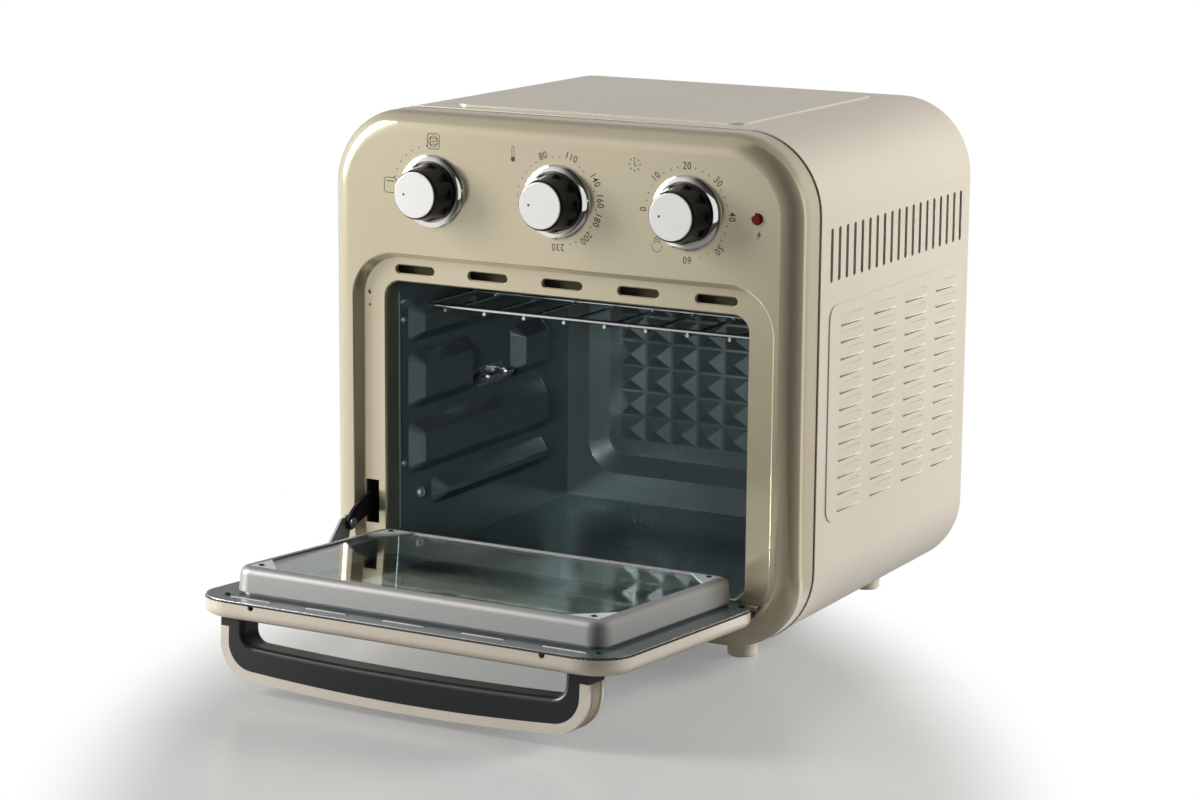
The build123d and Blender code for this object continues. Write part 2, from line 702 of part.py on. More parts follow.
def make_door():
    """Skin, liner, glass frame, panes, clips and screws of the shut door."""
    rear = door_inner_y - liner_sheet
    skin = from_front(door_outline(0), door_outer_y, rear)
    skin = fillet(skin.faces().sort_by(Axis.Y)[0].edges(), skin_edge_radius)
    hollow = from_front(door_outline(skin_sheet), door_outer_y + skin_sheet, rear + 1)
    hollow = fillet(hollow.faces().sort_by(Axis.Y)[0].edges(), skin_edge_radius - skin_sheet)
    skin = skin - hollow
    window = rounded(-window_half, window_half, window_bottom, window_top, 12)
    skin = skin - from_front(window, door_outer_y - 1, door_outer_y + skin_sheet + 1)
    for x in (-skin_notch_x, skin_notch_x):
        skin = skin - upright(skin_notch_radius, door_top - 3, door_top + 1, x, rear - 1)
    for x in (-handle_half + handle_leg / 2, handle_half - handle_leg / 2):
        skin = skin - along(2.1, door_outer_y - 1, door_outer_y + skin_sheet + 1, x, handle_z)
    block_low = door_bottom + skin_sheet
    hinge_block = from_side(block(door_outer_y + skin_sheet, rear, block_low, block_low + 9),
                            pin_inner - 1, pin_inner + 9)
    hinge_block = hinge_block & from_front(door_outline(skin_sheet), door_outer_y, rear)
    skin = skin + both_sides(hinge_block)
    bore = across(hinge_pin_radius + running_clearance, pin_inner - 9, pin_outer + 4, hinge_y, hinge_z)
    for pin in both_sides(bore):
        skin = skin - pin

    liner = from_front(door_outline(0.4), rear, door_inner_y)
    light = pane_half - pane_ledge
    light_low = pane_bottom + pane_ledge
    light_high = pane_top - pane_ledge
    liner = liner - from_front(rounded(-light, light, light_low, light_high, 6), rear - 1, door_inner_y + 1)
    for x in front_slots:
        slot = Pos(x, door_top - 12) * SlotOverall(liner_slot_length, 3.2)
        liner = liner - from_front(slot, rear - 1, door_inner_y + 1)

    top = door_inner_y + frame_height
    wall_base = door_inner_y + frame_shadow_gap
    frame = tapered(frame_outline(frame_draft), Plane.XZ.offset(-top),
                    frame_outline(0), Plane.XZ.offset(-wall_base))
    frame = fillet(frame.faces().sort_by(Axis.Y)[-1].edges(), frame_bullnose)
    frame = frame + from_front(frame_outline(frame_shadow_inset), door_inner_y, wall_base)
    pocket_depth = pane_thickness + clip_sheet
    seat = chamfered_pane(pane_half, pane_bottom, pane_top, pane_corner_x, pane_corner_z)
    frame = frame - from_front(seat, top - pocket_depth, top + 1)
    clip_seat = block(-pane_half, pane_half, pane_bottom, pane_top)
    frame = frame - from_front(clip_seat, top - clip_sheet, top + 1)
    frame = frame - from_front(rounded(-light, light, light_low, light_high, 6), door_inner_y - 1, top + 1)
    pane = from_front(chamfered_pane(pane_half - 0.3, pane_bottom + 0.3, pane_top - 0.3,
                                     pane_corner_x, pane_corner_z), top - pocket_depth, top - clip_sheet)
    outer_front = door_outer_y + skin_sheet
    outer_pane = from_front(rounded(-window_half - 6, window_half + 6, window_bottom - 6, window_top + 6, 8),
                            outer_front, outer_front + outer_pane_thickness)

    clips = []
    screws = []
    reach_x = pane_corner_x + clip_reach
    reach_z = pane_corner_z + clip_reach
    for sx in (-1, 1):
        for corner_z, sz in ((pane_bottom, 1), (pane_top, -1)):
            corner_x = sx * pane_half
            clip = make_face(Polyline((corner_x - sx * 0.5, corner_z + sz * 0.5),
                                      (corner_x - sx * reach_x, corner_z + sz * 0.5),
                                      (corner_x - sx * 0.5, corner_z + sz * reach_z), close=True))
            screw_x = corner_x - sx * 5.5
            screw_z = corner_z + sz * 5.0
            plate = from_front(clip, top - clip_sheet, top)
            clips.append(plate - along(1.5, top - 2, top + 1, screw_x, screw_z))
            screws.append(Pos(screw_x, top, screw_z) * Rot(180, 0, 0) * pan_screw(2.2, 4))
            frame = frame - along(1.1, top - 6, top + 1, screw_x, screw_z)
    bore = across(hinge_pin_radius + 0.4, pin_inner - 9, pin_outer + 4, hinge_y, hinge_z)
    for pin in both_sides(bore):
        liner = liner - pin
    for x, z in liner_screw_places:
        liner = liner - along(1.5, rear - 1, door_inner_y + 1, x, z)
        screws.append(Pos(x, door_inner_y, z) * Rot(180, 0, 0) * pan_screw(1.3, 3))
    return skin, liner, frame, pane, outer_pane, clips, screws


def handle_outline(inset, end):
    """Bow of the handle seen from above: two legs and a bar that bulges in its middle."""
    half = handle_half - inset
    reach = door_outer_y - handle_reach + inset
    corner = reach + handle_bow
    shape = make_face([
        Line((half, end), (-half, end)),
        Line((-half, end), (-half, corner)),
        ThreePointArc((-half, corner), (0, reach), (half, corner)),
        Line((half, corner), (half, end)),
    ])
    return fillet(shape.vertices().group_by(Axis.Y)[0], handle_corner - inset)


def make_handle():
    """Moulded core with feet on the door, a shell over its outside, an inlay and two thin trims."""
    low = handle_z - handle_depth / 2
    high = handle_z + handle_depth / 2
    inner_half = handle_half - handle_leg
    inner_reach = door_outer_y - handle_reach + handle_bar
    gap = make_face([
        Line((inner_half, door_outer_y + 1), (-inner_half, door_outer_y + 1)),
        Line((-inner_half, door_outer_y + 1), (-inner_half, inner_reach + handle_bow / 2)),
        ThreePointArc((-inner_half, inner_reach + handle_bow / 2), (0, inner_reach),
                      (inner_half, inner_reach + handle_bow / 2)),
        Line((inner_half, inner_reach + handle_bow / 2), (inner_half, door_outer_y + 1)),
    ])
    gap = fillet(gap.vertices().group_by(Axis.Y)[0], handle_corner - handle_leg + 1)
    whole = handle_outline(0, door_outer_y)
    shell_end = door_outer_y - handle_foot
    shell_flat = handle_outline(0, shell_end) - handle_outline(handle_shell, door_outer_y)
    core_flat = whole - gap - shell_flat
    core = from_above(core_flat, low, high)
    edges = [e for e in core.edges() if e.center().Y > inner_reach - 1 and e.center().Y < door_outer_y - 1
             and abs(e.center().X) < inner_half + 0.5 and (abs(e.center().Z - low) < 0.1
                                                            or abs(e.center().Z - high) < 0.1)]
    core = fillet(edges, 3.0)
    for x in (-handle_half + handle_leg / 2, handle_half - handle_leg / 2):
        core = core - along(2.0, door_outer_y - 12, door_outer_y + 1, x, handle_z)
    shell = from_above(shell_flat, low, high)
    band = handle_outline(0, shell_end) - handle_outline(inlay_depth, door_outer_y)
    half_band = inlay_width / 2
    shell = shell - from_above(band, handle_z - half_band - trim_width, handle_z + half_band + trim_width)
    inlay = from_above(band, handle_z - half_band, handle_z + half_band)
    proud = handle_outline(-0.4, shell_end) - handle_outline(inlay_depth, door_outer_y)
    trims = [from_above(proud, handle_z - half_band - trim_width, handle_z - half_band),
             from_above(proud, handle_z + half_band, handle_z + half_band + trim_width)]
    screws = []
    for x in (-handle_half + handle_leg / 2, handle_half - handle_leg / 2):
        head_y = door_outer_y + skin_sheet
        head = along(3.6, head_y, head_y + 2.4, x, handle_z)
        screws.append(head + along(2.0, head_y - 12, head_y, x, handle_z))
    return core, shell, inlay, trims, screws


def make_hinge():
    """Left bracket on the door's liner and the pin that carries the sickle arm, as on the shut door."""
    base = door_inner_y - hinge_y
    pin_y = hinge_y + arm_pin_n
    pin_z = hinge_z + arm_pin_t
    outer_x = -door_half + 0.3
    inner_x = outer_x + bracket_sheet
    horn = make_face(Polyline(
        (hinge_y + base, hinge_z + 24), (hinge_y + base, hinge_z + 43), (hinge_y + 12, hinge_z + 42),
        (hinge_y + 25, hinge_z + 30), (pin_y + 3, pin_z - 3), (pin_y - 6, pin_z - 2), close=True))
    horn = horn + Pos(pin_y, pin_z) * Circle(5)
    bracket = from_side(horn, outer_x, inner_x)
    foot = from_front(block(outer_x, -slot_inner - 0.9, hinge_z + 26, hinge_z + 42), hinge_y + base,
                      hinge_y + base + 1.0)
    bracket = bracket + foot - across(arm_pin_radius, outer_x - 10, outer_x + 20, pin_y, pin_z)
    pin_end = inner_x + 0.4 + arm_sheet + 0.4
    pin = across(arm_pin_radius, outer_x, pin_end, pin_y, pin_z)
    pin = pin + across(3.2, pin_end, pin_end + 1.2, pin_y, pin_z)
    return bracket, pin


def turned_open(piece):
    """Turn a piece of the shut door about the hinge axis to where the open door lies."""
    axis = Axis((0, hinge_y, hinge_z), (1, 0, 0))
    return piece.rotate(axis, door_open_angle)


def open_place(t, n):
    """Place (y, z) on the open door of a point t up from the hinge axis and n towards the cavity."""
    a = math.radians(door_open_angle)
    return (hinge_y + n * math.cos(a) - t * math.sin(a), hinge_z + n * math.sin(a) + t * math.cos(a))


def make_arm():
    """Sickle arm as it lies with the door open: from the door's pin in through the fascia slot."""
    py, pz = open_place(arm_pin_t, arm_pin_n)
    left = -door_half + 0.3 + bracket_sheet + 0.4
    outer = Spline((py - 3.6, pz + 2.6), (py + 6, pz + 9.8), (py + 23, pz + 15.2), (py + 50, pz + 13.2),
                   (py + 78, pz + 6.2))
    tail = Line((py + 78, pz + 6.2), (py + 77, pz + 0.2))
    inner = Spline((py + 77, pz + 0.2), (py + 50, pz + 2.8), (py + 26, pz + 1.8), (py + 10, pz - 0.8),
                   (py + 2.4, pz - 4.0))
    nose = ThreePointArc((py + 2.4, pz - 4.0), (py - 4.2, pz - 1.6), (py - 3.6, pz + 2.6))
    blade = make_face([outer, tail, inner, nose])
    arm = from_side(blade, left, left + arm_sheet)
    arm = arm - across(arm_pin_radius + running_clearance, left - 10, left + 10, py, pz)
    arm = arm - across(1.4, left - 10, left + 10, py + 74, pz + 3.4)
    return arm, (left + arm_sheet / 2, py + 74, pz + 3.4)


def make_spring(hook):
    """Tension spring from the arm's tail back to the tab on the cavity wall."""
    x, y, z = hook
    end_y = spring_rear_y - 2.0
    start = Vector(x, y + 3.9, z)
    end = Vector(x, end_y, spring_rear_z)
    run = end - start
    plane = Plane(origin=start, z_dir=run)
    length = run.length
    coil = plane * (Pos(0, 0, 14 + (length - 28) / 2) * Cylinder(3.6, length - 28))
    hooks = plane * (Pos(0, 0, length / 2) * Cylinder(0.8, length))
    return coil + hooks


def make_rack():
    """Welded wire rack: a frame of heavier wire over thinner bars that run front to back."""
    corner = 9.0
    path = RectangleRounded(2 * rack_half, rack_rear - rack_front, corner).edges()
    loop = Plane.XY.offset(rack_z) * (Pos(0, (rack_front + rack_rear) / 2) * Wire(path))
    start_point = loop @ 0
    start_dir = loop % 0
    frame = sweep(Plane(origin=start_point, z_dir=start_dir) * Circle(rack_wire / 2), path=loop)
    bar_z = rack_z - rack_wire / 2 - rack_bar / 2 + 0.3
    pieces = [frame]
    for i in range(rack_bars):
        x = rack_first_bar + i * rack_bar_pitch
        pieces.append(along(rack_bar / 2, rack_front - 1.6, rack_rear + 1.6, x, bar_z))
    for y in (rack_front + 62, rack_rear - 62):
        pieces.append(across(rack_bar / 2, -rack_half, rack_half, y, bar_z + rack_bar - 0.5))
    return joined(pieces)


def impeller(low, radius, count, tall, lean):
    """Sheet impeller: a hub, a thin disc and upright blades around its edge."""
    disc = upright(radius, low, low + 0.8, 0, fan_y) - upright(fan_shaft_radius, low - 1, low + 20, 0, fan_y)
    hub = upright(8, low, low + 7, 0, fan_y) - upright(fan_shaft_radius, low - 1, low + 20, 0, fan_y)
    blades = []
    for i in range(count):
        blade = block(radius * 0.45, radius - 1, -0.5, 0.5)
        shape = Pos(0, fan_y) * Rot(0, 0, 360 / count * i) * Pos(0, lean) * blade
        blades.append(from_above(shape, low + 0.4, low + tall))
    return disc + hub + blades


nodes["front_fascia"] = make_fascia()
nodes["cavity_mouth"] = make_mouth()
nodes["outer_casing"] = make_casing()
nodes["base_plate"] = make_base()
nodes["feet"], nodes["foot_screws"] = make_feet()
nodes["cavity_left_wall"] = make_side_wall()
nodes["cavity_right_wall"] = mirror(nodes["cavity_left_wall"], about=Plane.YZ)
nodes["cavity_left_wall"] += make_spring_tab()
nodes["cavity_rear_wall"] = make_rear_wall()
nodes["cavity_ceiling"] = make_ceiling()
nodes["cavity_floor"] = make_floor()
nodes["fan_room"] = make_fan_room()
nodes["fan_guard"] = make_guard()

upper_level = cavity_ceiling - 8
lower_level = cavity_floor - cavity_sheet - heater_radius
nodes["heater_bushes"] = []
heater_ends = (fan_y - 62, fan_y + 66)
heater_plans = (("upper", upper_level, cavity_half - 29.5), ("lower", lower_level, cavity_half - 34.5))
for name, level, half in heater_plans:
    tube, bushes = heater(level, *heater_ends, half)
    nodes[name + "_heater"] = tube
    nodes["heater_bushes"] += bushes
    for y in heater_ends:
        if name == "upper":
            nodes["cavity_right_wall"] -= across(heater_radius, cavity_half - 2, cavity_half + 2, y, level)

nodes["fan_impeller"] = impeller(cavity_ceiling + 6, impeller_radius, impeller_blades, 16, 6)
room_top = cavity_ceiling + cavity_sheet + fan_room_height
motor_low = room_top + 8
motor_high = motor_low + motor_height
nodes["fan_shaft"] = upright(fan_shaft_radius, cavity_ceiling + 4, motor_high + 20, 0, fan_y)
bore = upright(fan_shaft_radius + running_clearance, motor_low - 5, motor_high + 5, 0, fan_y)
stack = from_above(rounded(-motor_radius, motor_radius, fan_y - 24, fan_y + 24, 5),
                   motor_low + 4, motor_high - 4)
coil_can = upright(20, motor_low, motor_high, 0, fan_y)
nodes["fan_motor"] = stack + coil_can - bore
bridge = from_above(block(-44, 44, fan_y - 9, fan_y + 9), motor_low - 1.5, motor_low)
legs = [from_above(block(sx * 43 - 1, sx * 43 + 1, fan_y - 9, fan_y + 9), room_top, motor_low)
        for sx in (-1, 1)]
nodes["motor_bracket"] = bridge + legs - upright(5, motor_low - 3, motor_low + 1, 0, fan_y)
nodes["cooling_fan"] = impeller(motor_high + 6, 32, 8, 10, 3)

nodes["knob_bezels"] = []
for place, name in zip(knob_places, ("function", "temperature", "timer")):
    body, cap, shaft, ring = make_knob(place)
    nodes[name + "_knob"] = body
    nodes[name + "_knob_cap"] = cap
    nodes[name + "_shaft"] = shaft
    nodes["knob_bezels"].append(ring)
plate, bodies = make_controls()
nodes["control_plate"] = plate
nodes["function_switch"], nodes["thermostat_body"], nodes["timer_body"] = bodies
lens = along(lens_radius, -1.6, fascia_wall, lens_x, knob_z)
lens = fillet(lens.edges().group_by(Axis.Y)[0], 1.2)
nodes["indicator_lens"] = lens + along(lens_radius + 1, fascia_wall, fascia_wall + 1.2, lens_x, knob_z)

nodes["rear_cover"] = make_rear_cover()
gland = along(gland_neck + 3, casing_rear, casing_rear + 3, gland_x, gland_z)
gland = fillet(gland.edges().group_by(Axis.Y)[-1], 1.2)
gland = gland + along(gland_neck, casing_rear - 8, casing_rear, gland_x, gland_z)
nodes["cord_gland"] = gland - along(gland_bore, casing_rear - 10, casing_rear + 5, gland_x, gland_z)
cover_fixings = []
for x, z in cover_screws:
    cover_fixings.append(Pos(x, casing_rear, z) * Rot(180, 0, 0) * pan_screw(3.2, 6))
nodes["rear_cover_screws"] = cover_fixings
wall_fixings = []
for y, z, size in ((27.5, boss_top - 10.0, 1.9), (27.5, boss_top - 101.5, 1.9), (47, 72, 3.4)):
    screw = Pos(-cavity_half, y, z) * Rot(0, 0, 90) * pan_screw(size, 5)
    wall_fixings.append(screw)
    nodes["cavity_left_wall"] -= across(size * 0.5, -cavity_half - 3, -cavity_half + 1, y, z)
    nodes["cavity_right_wall"] -= across(size * 0.5, cavity_half - 1, cavity_half + 3, y, z)
nodes["cavity_screws"] = wall_fixings + [mirror(s, about=Plane.YZ) for s in wall_fixings]

nodes["thermostat_bulb"] = along(bulb_radius, bulb_front, bulb_rear, -cavity_half + 5.2, bulb_z)
strap = from_side(block(118, 148, 128, 141), -cavity_half, -cavity_half + 0.8)
loops = []
for y in (118, 141):
    loop = along(bulb_radius + 0.8, y, y + 7, -cavity_half + 5.2, bulb_z)
    loop = loop - along(bulb_radius, y - 1, y + 8, -cavity_half + 5.2, bulb_z)
    arms = from_side(block(y, y + 7, bulb_z + bulb_radius, bulb_z + bulb_radius + 0.8),
                     -cavity_half, -cavity_half + 5.2)
    loops.append(loop + arms)
nodes["bulb_clip"] = strap + loops

nodes["hinge_pins"] = both_sides(across(hinge_pin_radius, pin_inner, pin_outer, hinge_y, hinge_z))
skin, liner, frame, pane, outer_pane, clips, screws = make_door()
core, shell, inlay, trims, handle_screws = make_handle()
bracket, arm_pin = make_hinge()
door_nodes = {
    "door_skin": [skin],
    "door_liner": [liner],
    "glass_frame": [frame],
    "inner_glass": [pane],
    "outer_glass": [outer_pane],
    "glass_clips": clips,
    "door_screws": screws + handle_screws,
    "handle_core": [core],
    "handle_shell": [shell],
    "handle_inlay": [inlay],
    "handle_trims": trims,
    "door_hinge_bracket": [bracket],
    "arm_pin": [arm_pin],
}
for name, pieces in door_nodes.items():
    nodes[name] = [turned_open(piece) for piece in pieces]
arm, arm_hook = make_arm()
nodes["hinge_arm"] = arm
nodes["hinge_spring"] = make_spring(arm_hook)
nodes["wire_rack"] = make_rack()


def solids_of(piece):
    """All solids of a node, whether it is one shape or a list of shapes."""
    shapes = piece if isinstance(piece, list) else [piece]
    return [solid for shape in shapes for solid in shape.solids()]


groups = {name: solids_of(piece) for name, piece in nodes.items()}
whole = Compound([solid for solids in groups.values() for solid in solids]).bounding_box()
shift_y = -(whole.min.Y + whole.max.Y) / 2


def main():
    for name, solids in groups.items():
        shape = Pos(0, shift_y, 0) * Compound(solids)
        export_step(shape, f"parts/{name}.step")
    print(len(groups), "nodes, shift", round(shift_y, 3), "size", whole.size)


main()
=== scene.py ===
import math
import bmesh
import bpy
from mathutils import Matrix, Vector


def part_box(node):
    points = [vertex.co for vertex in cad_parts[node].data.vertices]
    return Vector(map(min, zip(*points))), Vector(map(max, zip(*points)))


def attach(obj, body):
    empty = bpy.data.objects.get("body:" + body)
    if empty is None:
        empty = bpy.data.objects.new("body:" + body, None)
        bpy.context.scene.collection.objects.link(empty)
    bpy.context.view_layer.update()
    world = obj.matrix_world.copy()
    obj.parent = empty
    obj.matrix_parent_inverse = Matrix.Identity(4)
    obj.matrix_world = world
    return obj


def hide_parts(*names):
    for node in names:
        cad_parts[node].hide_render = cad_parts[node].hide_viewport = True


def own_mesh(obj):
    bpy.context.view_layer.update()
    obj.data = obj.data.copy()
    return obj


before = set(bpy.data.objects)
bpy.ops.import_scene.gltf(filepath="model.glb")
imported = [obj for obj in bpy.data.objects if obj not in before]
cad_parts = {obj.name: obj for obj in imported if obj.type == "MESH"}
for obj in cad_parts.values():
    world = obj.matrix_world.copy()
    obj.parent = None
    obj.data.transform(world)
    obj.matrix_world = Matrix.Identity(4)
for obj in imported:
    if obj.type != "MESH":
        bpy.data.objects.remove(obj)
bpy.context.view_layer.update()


# --------------------------------------------------
# Moulded front. One injection-moulded ABS shell sprayed with a champagne pearl lacquer and a
# clear coat: a rolled rim, a recess for the shut door, five vent slots and three dial holes.
# --------------------------------------------------

def linear(colour):
    """sRGB hex such as "C9C0AA" to the linear colour that a shader wants."""
    parts = [int(colour[i:i + 2], 16) / 255 for i in (0, 2, 4)]
    return tuple(p / 12.92 if p <= 0.04045 else ((p + 0.055) / 1.055) ** 2.4 for p in parts) + (1.0,)


def add(owner, kind, values=None, links=None, stops=(), **settings):
    """One ShaderNode in a tree: its own values, its inputs' links, a ramp's stops, and its settings.

    A link is a socket, or a node whose first output is meant.
    """
    node = owner.node_tree.nodes.new("ShaderNode" + kind)
    for key, value in settings.items():
        setattr(node, key, value)
    for key, value in (values or {}).items():
        node.inputs[key].default_value = value
    for key, source in (links or {}).items():
        socket = source if isinstance(source, bpy.types.NodeSocket) else source.outputs[0]
        owner.node_tree.links.new(socket, node.inputs[key])
    for i, (position, colour) in enumerate(stops):
        node.color_ramp.elements[i].position = position
        node.color_ramp.elements[i].color = linear(colour)
    return node


def finish(name):
    """A new material with an empty node tree, and the object's own coordinates in it."""
    made = bpy.data.materials.new(name)
    made.use_nodes = True
    made.node_tree.nodes.clear()
    return made, add(made, "TexCoord").outputs["Object"]


def dress(names, made, shader=None):
    """Put a material on the CAD nodes of these names, its tree first closed with its shader if given."""
    if shader:
        add(made, "OutputMaterial", links={"Surface": shader})
    for name in names:
        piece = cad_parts[name]
        if not piece.data.materials:
            piece.data.materials.append(made)
        for i in range(len(piece.material_slots)):
            piece.material_slots[i].material = made


# Pearl lacquer on ABS: mica flakes under a clear coat. It gives the eye a soft metallic swing from
# light to dark over the rolled rim, a sharp thin highlight on each edge, and a barely seen flow.
pearl_lacquer, place = finish("pearl_lacquer_on_abs")
drift = add(pearl_lacquer, "TexNoise", {"Scale": 9.0, "Detail": 2.0}, {"Vector": place})
tone = add(pearl_lacquer, "ValToRGB", links={"Fac": drift}, stops=((0.3, "CDC2A6"), (0.72, "D4CAAF")))
# flakes are 0.05 mm, drawn 0.6 mm across so that they show
flakes = add(pearl_lacquer, "TexNoise", {"Scale": 1600.0, "Detail": 1.0}, {"Vector": place})
sheen = add(pearl_lacquer, "MapRange", {"To Min": 0.13, "To Max": 0.19}, {"Value": flakes})
# spray flow, 4 mm from crest to crest and a few thousandths of a millimetre deep
flow = add(pearl_lacquer, "TexNoise", {"Scale": 250.0, "Detail": 2.0}, {"Vector": place})
peel = add(pearl_lacquer, "Bump", {"Strength": 0.10, "Distance": 0.00004}, {"Height": flow})
paint = add(pearl_lacquer, "BsdfPrincipled", {"Metallic": 0.55, "Coat Weight": 0.6, "Coat Roughness": 0.05},
            {"Base Color": tone, "Roughness": sheen, "Normal": peel})
dress(["front_fascia"], pearl_lacquer, paint)

front_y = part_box("front_fascia")[0].y          # the plane of the crest, which the dials are printed on


# --------------------------------------------------
# Dial print. Numbers, dots and symbols pad-printed in one grey ink on the lacquer, a few
# hundredths of a millimetre thick. Every number stands with its head away from its dial.
# --------------------------------------------------

scene = bpy.context.scene


def placed(name, data):
    """A new object in the scene."""
    made = bpy.data.objects.new(name, data)
    scene.collection.objects.link(made)
    return made


def piece_of(name, points, faces, made, body, smooth=False):
    """A mesh piece from points in millimetres, with its material, riding on a body."""
    mesh = bpy.data.meshes.new(name)
    mesh.from_pydata([(x * 0.001, y * 0.001, z * 0.001) for x, y, z in points], [], faces)
    mesh.validate()
    shape = bmesh.new()
    shape.from_mesh(mesh)
    bmesh.ops.recalc_face_normals(shape, faces=shape.faces)
    shape.to_mesh(mesh)
    shape.free()
    mesh.polygons.foreach_set("use_smooth", [smooth] * len(mesh.polygons))
    mesh.materials.append(made)
    piece = placed(name, mesh)
    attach(piece, body)
    return piece


def join(points, faces, more_points, more_faces):
    """Add a second lot of points and faces to a piece's lists."""
    start = len(points)
    points += more_points
    faces += [[start + i for i in face] for face in more_faces]


front = front_y * 1000
ink_front = front - 0.05
ink_rear = front + 0.15
print_points, print_faces = [], []


def ink(outline):
    """A flat printed shape: its outline as (x, z) points in millimetres, run once round."""
    start = len(print_points)
    count = len(outline)
    for depth in (ink_front, ink_rear):
        for x, z in outline:
            print_points.append((x, depth, z))
    print_faces.append([start + i for i in range(count)])
    for i in range(count):
        after = (i + 1) % count
        print_faces.append([start + i, start + after, start + count + after, start + count + i])


def ink_line(path, width, closed=False):
    """A printed line of even width through (x, z) points."""
    runs = list(zip(path, path[1:]))
    if closed:
        runs.append((path[-1], path[0]))
    for (ax, az), (bx, bz) in runs:
        length = math.hypot(bx - ax, bz - az) or 1.0
        ux, uz = (bx - ax) / length * width / 2, (bz - az) / length * width / 2
        ink([(ax - ux - uz, az - uz + ux), (ax - ux + uz, az - uz - ux),
             (bx + ux + uz, bz + uz - ux), (bx + ux - uz, bz + uz + ux)])


def ring_of(x, z, radius, steps=24, start=0.0, sweep=360.0):
    """Points round a circle or along an arc, clockwise from the top."""
    count = steps if sweep == 360.0 else steps + 1
    turns = [math.radians(start + sweep * i / steps) for i in range(count)]
    return [(x + radius * math.sin(t), z + radius * math.cos(t)) for t in turns]


dial_z = 272.6
function_x, temperature_x, timer_x = -86.5, 0.0, 86.5


def ink_dots(x, z, radius, turns, size=0.45):
    """Printed dots round a middle, at turns in degrees clockwise from the top."""
    for turn in turns:
        t = math.radians(turn)
        ink(ring_of(x + radius * math.sin(t), z + radius * math.cos(t), size, 8))


def ink_frame(x, z, half):
    """The printed frame of a symbol, 9.2 mm tall, with its corners cut."""
    left, right, low, high, corner = x - half, x + half, z - 4.6, z + 4.6, 1.2
    ink_line([(left + corner, high), (right - corner, high), (right, high - corner), (right, low + corner),
              (right - corner, low), (left + corner, low), (left, low + corner), (left, high - corner)],
             0.42, closed=True)


# function dial: a dotted arc from the oven symbol up to the fan symbol
ink_dots(function_x, dial_z, 27.6, [-75 + i * 11.2 for i in range(7)])
fan_x, fan_z = -85.4, 303.0
ink_frame(fan_x, fan_z, 4.2)
ink_line(ring_of(fan_x, fan_z, 3.3, 20), 0.36, closed=True)
for i in range(4):
    t = math.radians(45 + 90 * i)
    blade = ring_of(fan_x + 1.5 * math.sin(t), fan_z + 1.5 * math.cos(t), 1.15, 10, math.degrees(t) - 60, 200)
    ink_line(blade, 0.36)
ink(ring_of(fan_x, fan_z, 0.5, 8))
tray_x, tray_z = -116.2, 274.4
ink_frame(tray_x, tray_z, 4.3)
ink_line([(tray_x - 2.4, tray_z + 2.4), (tray_x + 2.6, tray_z + 2.4)], 0.6)

# temperature dial: a thermometer symbol, then dots and degrees from 80 to 230
bulb_x, bulb_z = -29.9, 296.0
ink(ring_of(bulb_x, bulb_z, 1.5, 16))
ink_line([(bulb_x - 0.75, bulb_z + 1.2), (bulb_x - 0.75, bulb_z + 7.0), (bulb_x - 0.3, bulb_z + 7.6),
          (bulb_x + 0.3, bulb_z + 7.6), (bulb_x + 0.75, bulb_z + 7.0), (bulb_x + 0.75, bulb_z + 1.2)], 0.3)
numbers = [("80", -9.3, 299.3), ("110", 9.7, 299.7), ("140", 25.9, 287.5), ("160", 29.3, 275.4),
           ("180", 27.4, 264.0), ("200", 20.1, 252.7), ("230", 1.2, 245.8)]
ink_dots(temperature_x, dial_z, 26.6,
         (-98, -86, -74, -62, -51, -41, -32, -5, 4, 35, 43, 72, 96, 120, 150, 159))

# timer dial: a clock symbol, a bell at the end of the time, and minutes from 0 to 60
clock_x, clock_z = 52.1, 298.6
ink_dots(clock_x, clock_z, 3.6, range(0, 360, 45), 0.5)
ink_line([(clock_x, clock_z + 2.0), (clock_x, clock_z - 0.6), (clock_x + 1.6, clock_z - 0.6)], 0.4)
bell_x, bell_z = 67.3, 252.6
for lift in (0.0, 1.3, 2.6):
    ink_line(ring_of(bell_x, bell_z - 0.4 + lift, 2.3, 8, -60, 120), 0.34)
ink_line([(bell_x - 3.6, bell_z - 0.2), (bell_x - 2.4, bell_z - 3.4), (bell_x, bell_z - 4.6),
          (bell_x + 2.4, bell_z - 3.4), (bell_x + 3.6, bell_z - 0.2)], 0.34)
numbers += [("0", 58.3, 272.8), ("10", 66.3, 292.2), ("20", 86.4, 300.0), ("30", 106.6, 292.2),
            ("40", 115.9, 272.6), ("50", 107.9, 252.7), ("60", 87.3, 245.2)]
ink_dots(timer_x, dial_z, 26.9,
         (-78, -68, -58, -34, -23, -13, 12, 22, 32, 56, 66, 76, 102, 112, 122, 148, 160))

# spark symbol under the lamp
spark_x, spark_z = 133.3, 263.4
ink([(spark_x + 1.3, spark_z + 2.6), (spark_x - 1.5, spark_z - 0.2), (spark_x - 0.1, spark_z - 0.2),
     (spark_x - 1.1, spark_z - 2.8), (spark_x + 1.6, spark_z + 0.5), (spark_x + 0.2, spark_z + 0.5)])


def mottled(name, scale, dark, light, values, detail=2.0):
    """A material whose colour drifts between two shades in one noise; the rest is even all over."""
    made, place = finish(name)
    drift = add(made, "TexNoise", {"Scale": scale, "Detail": detail}, {"Vector": place})
    tone = add(made, "ValToRGB", links={"Fac": drift}, stops=((0.0, dark), (1.0, light)))
    dress([], made, add(made, "BsdfPrincipled", values, {"Base Color": tone}))
    return made


# Grey pad-printing ink: thin and matt, so it breaks the gloss of the lacquer round it.
printing_ink = mottled("pad_printing_ink", 2500.0, "2C2A24", "3B3830", {"Roughness": 0.55})
dial_print = piece_of("dial_print", print_points, print_faces, printing_ink, "oven")


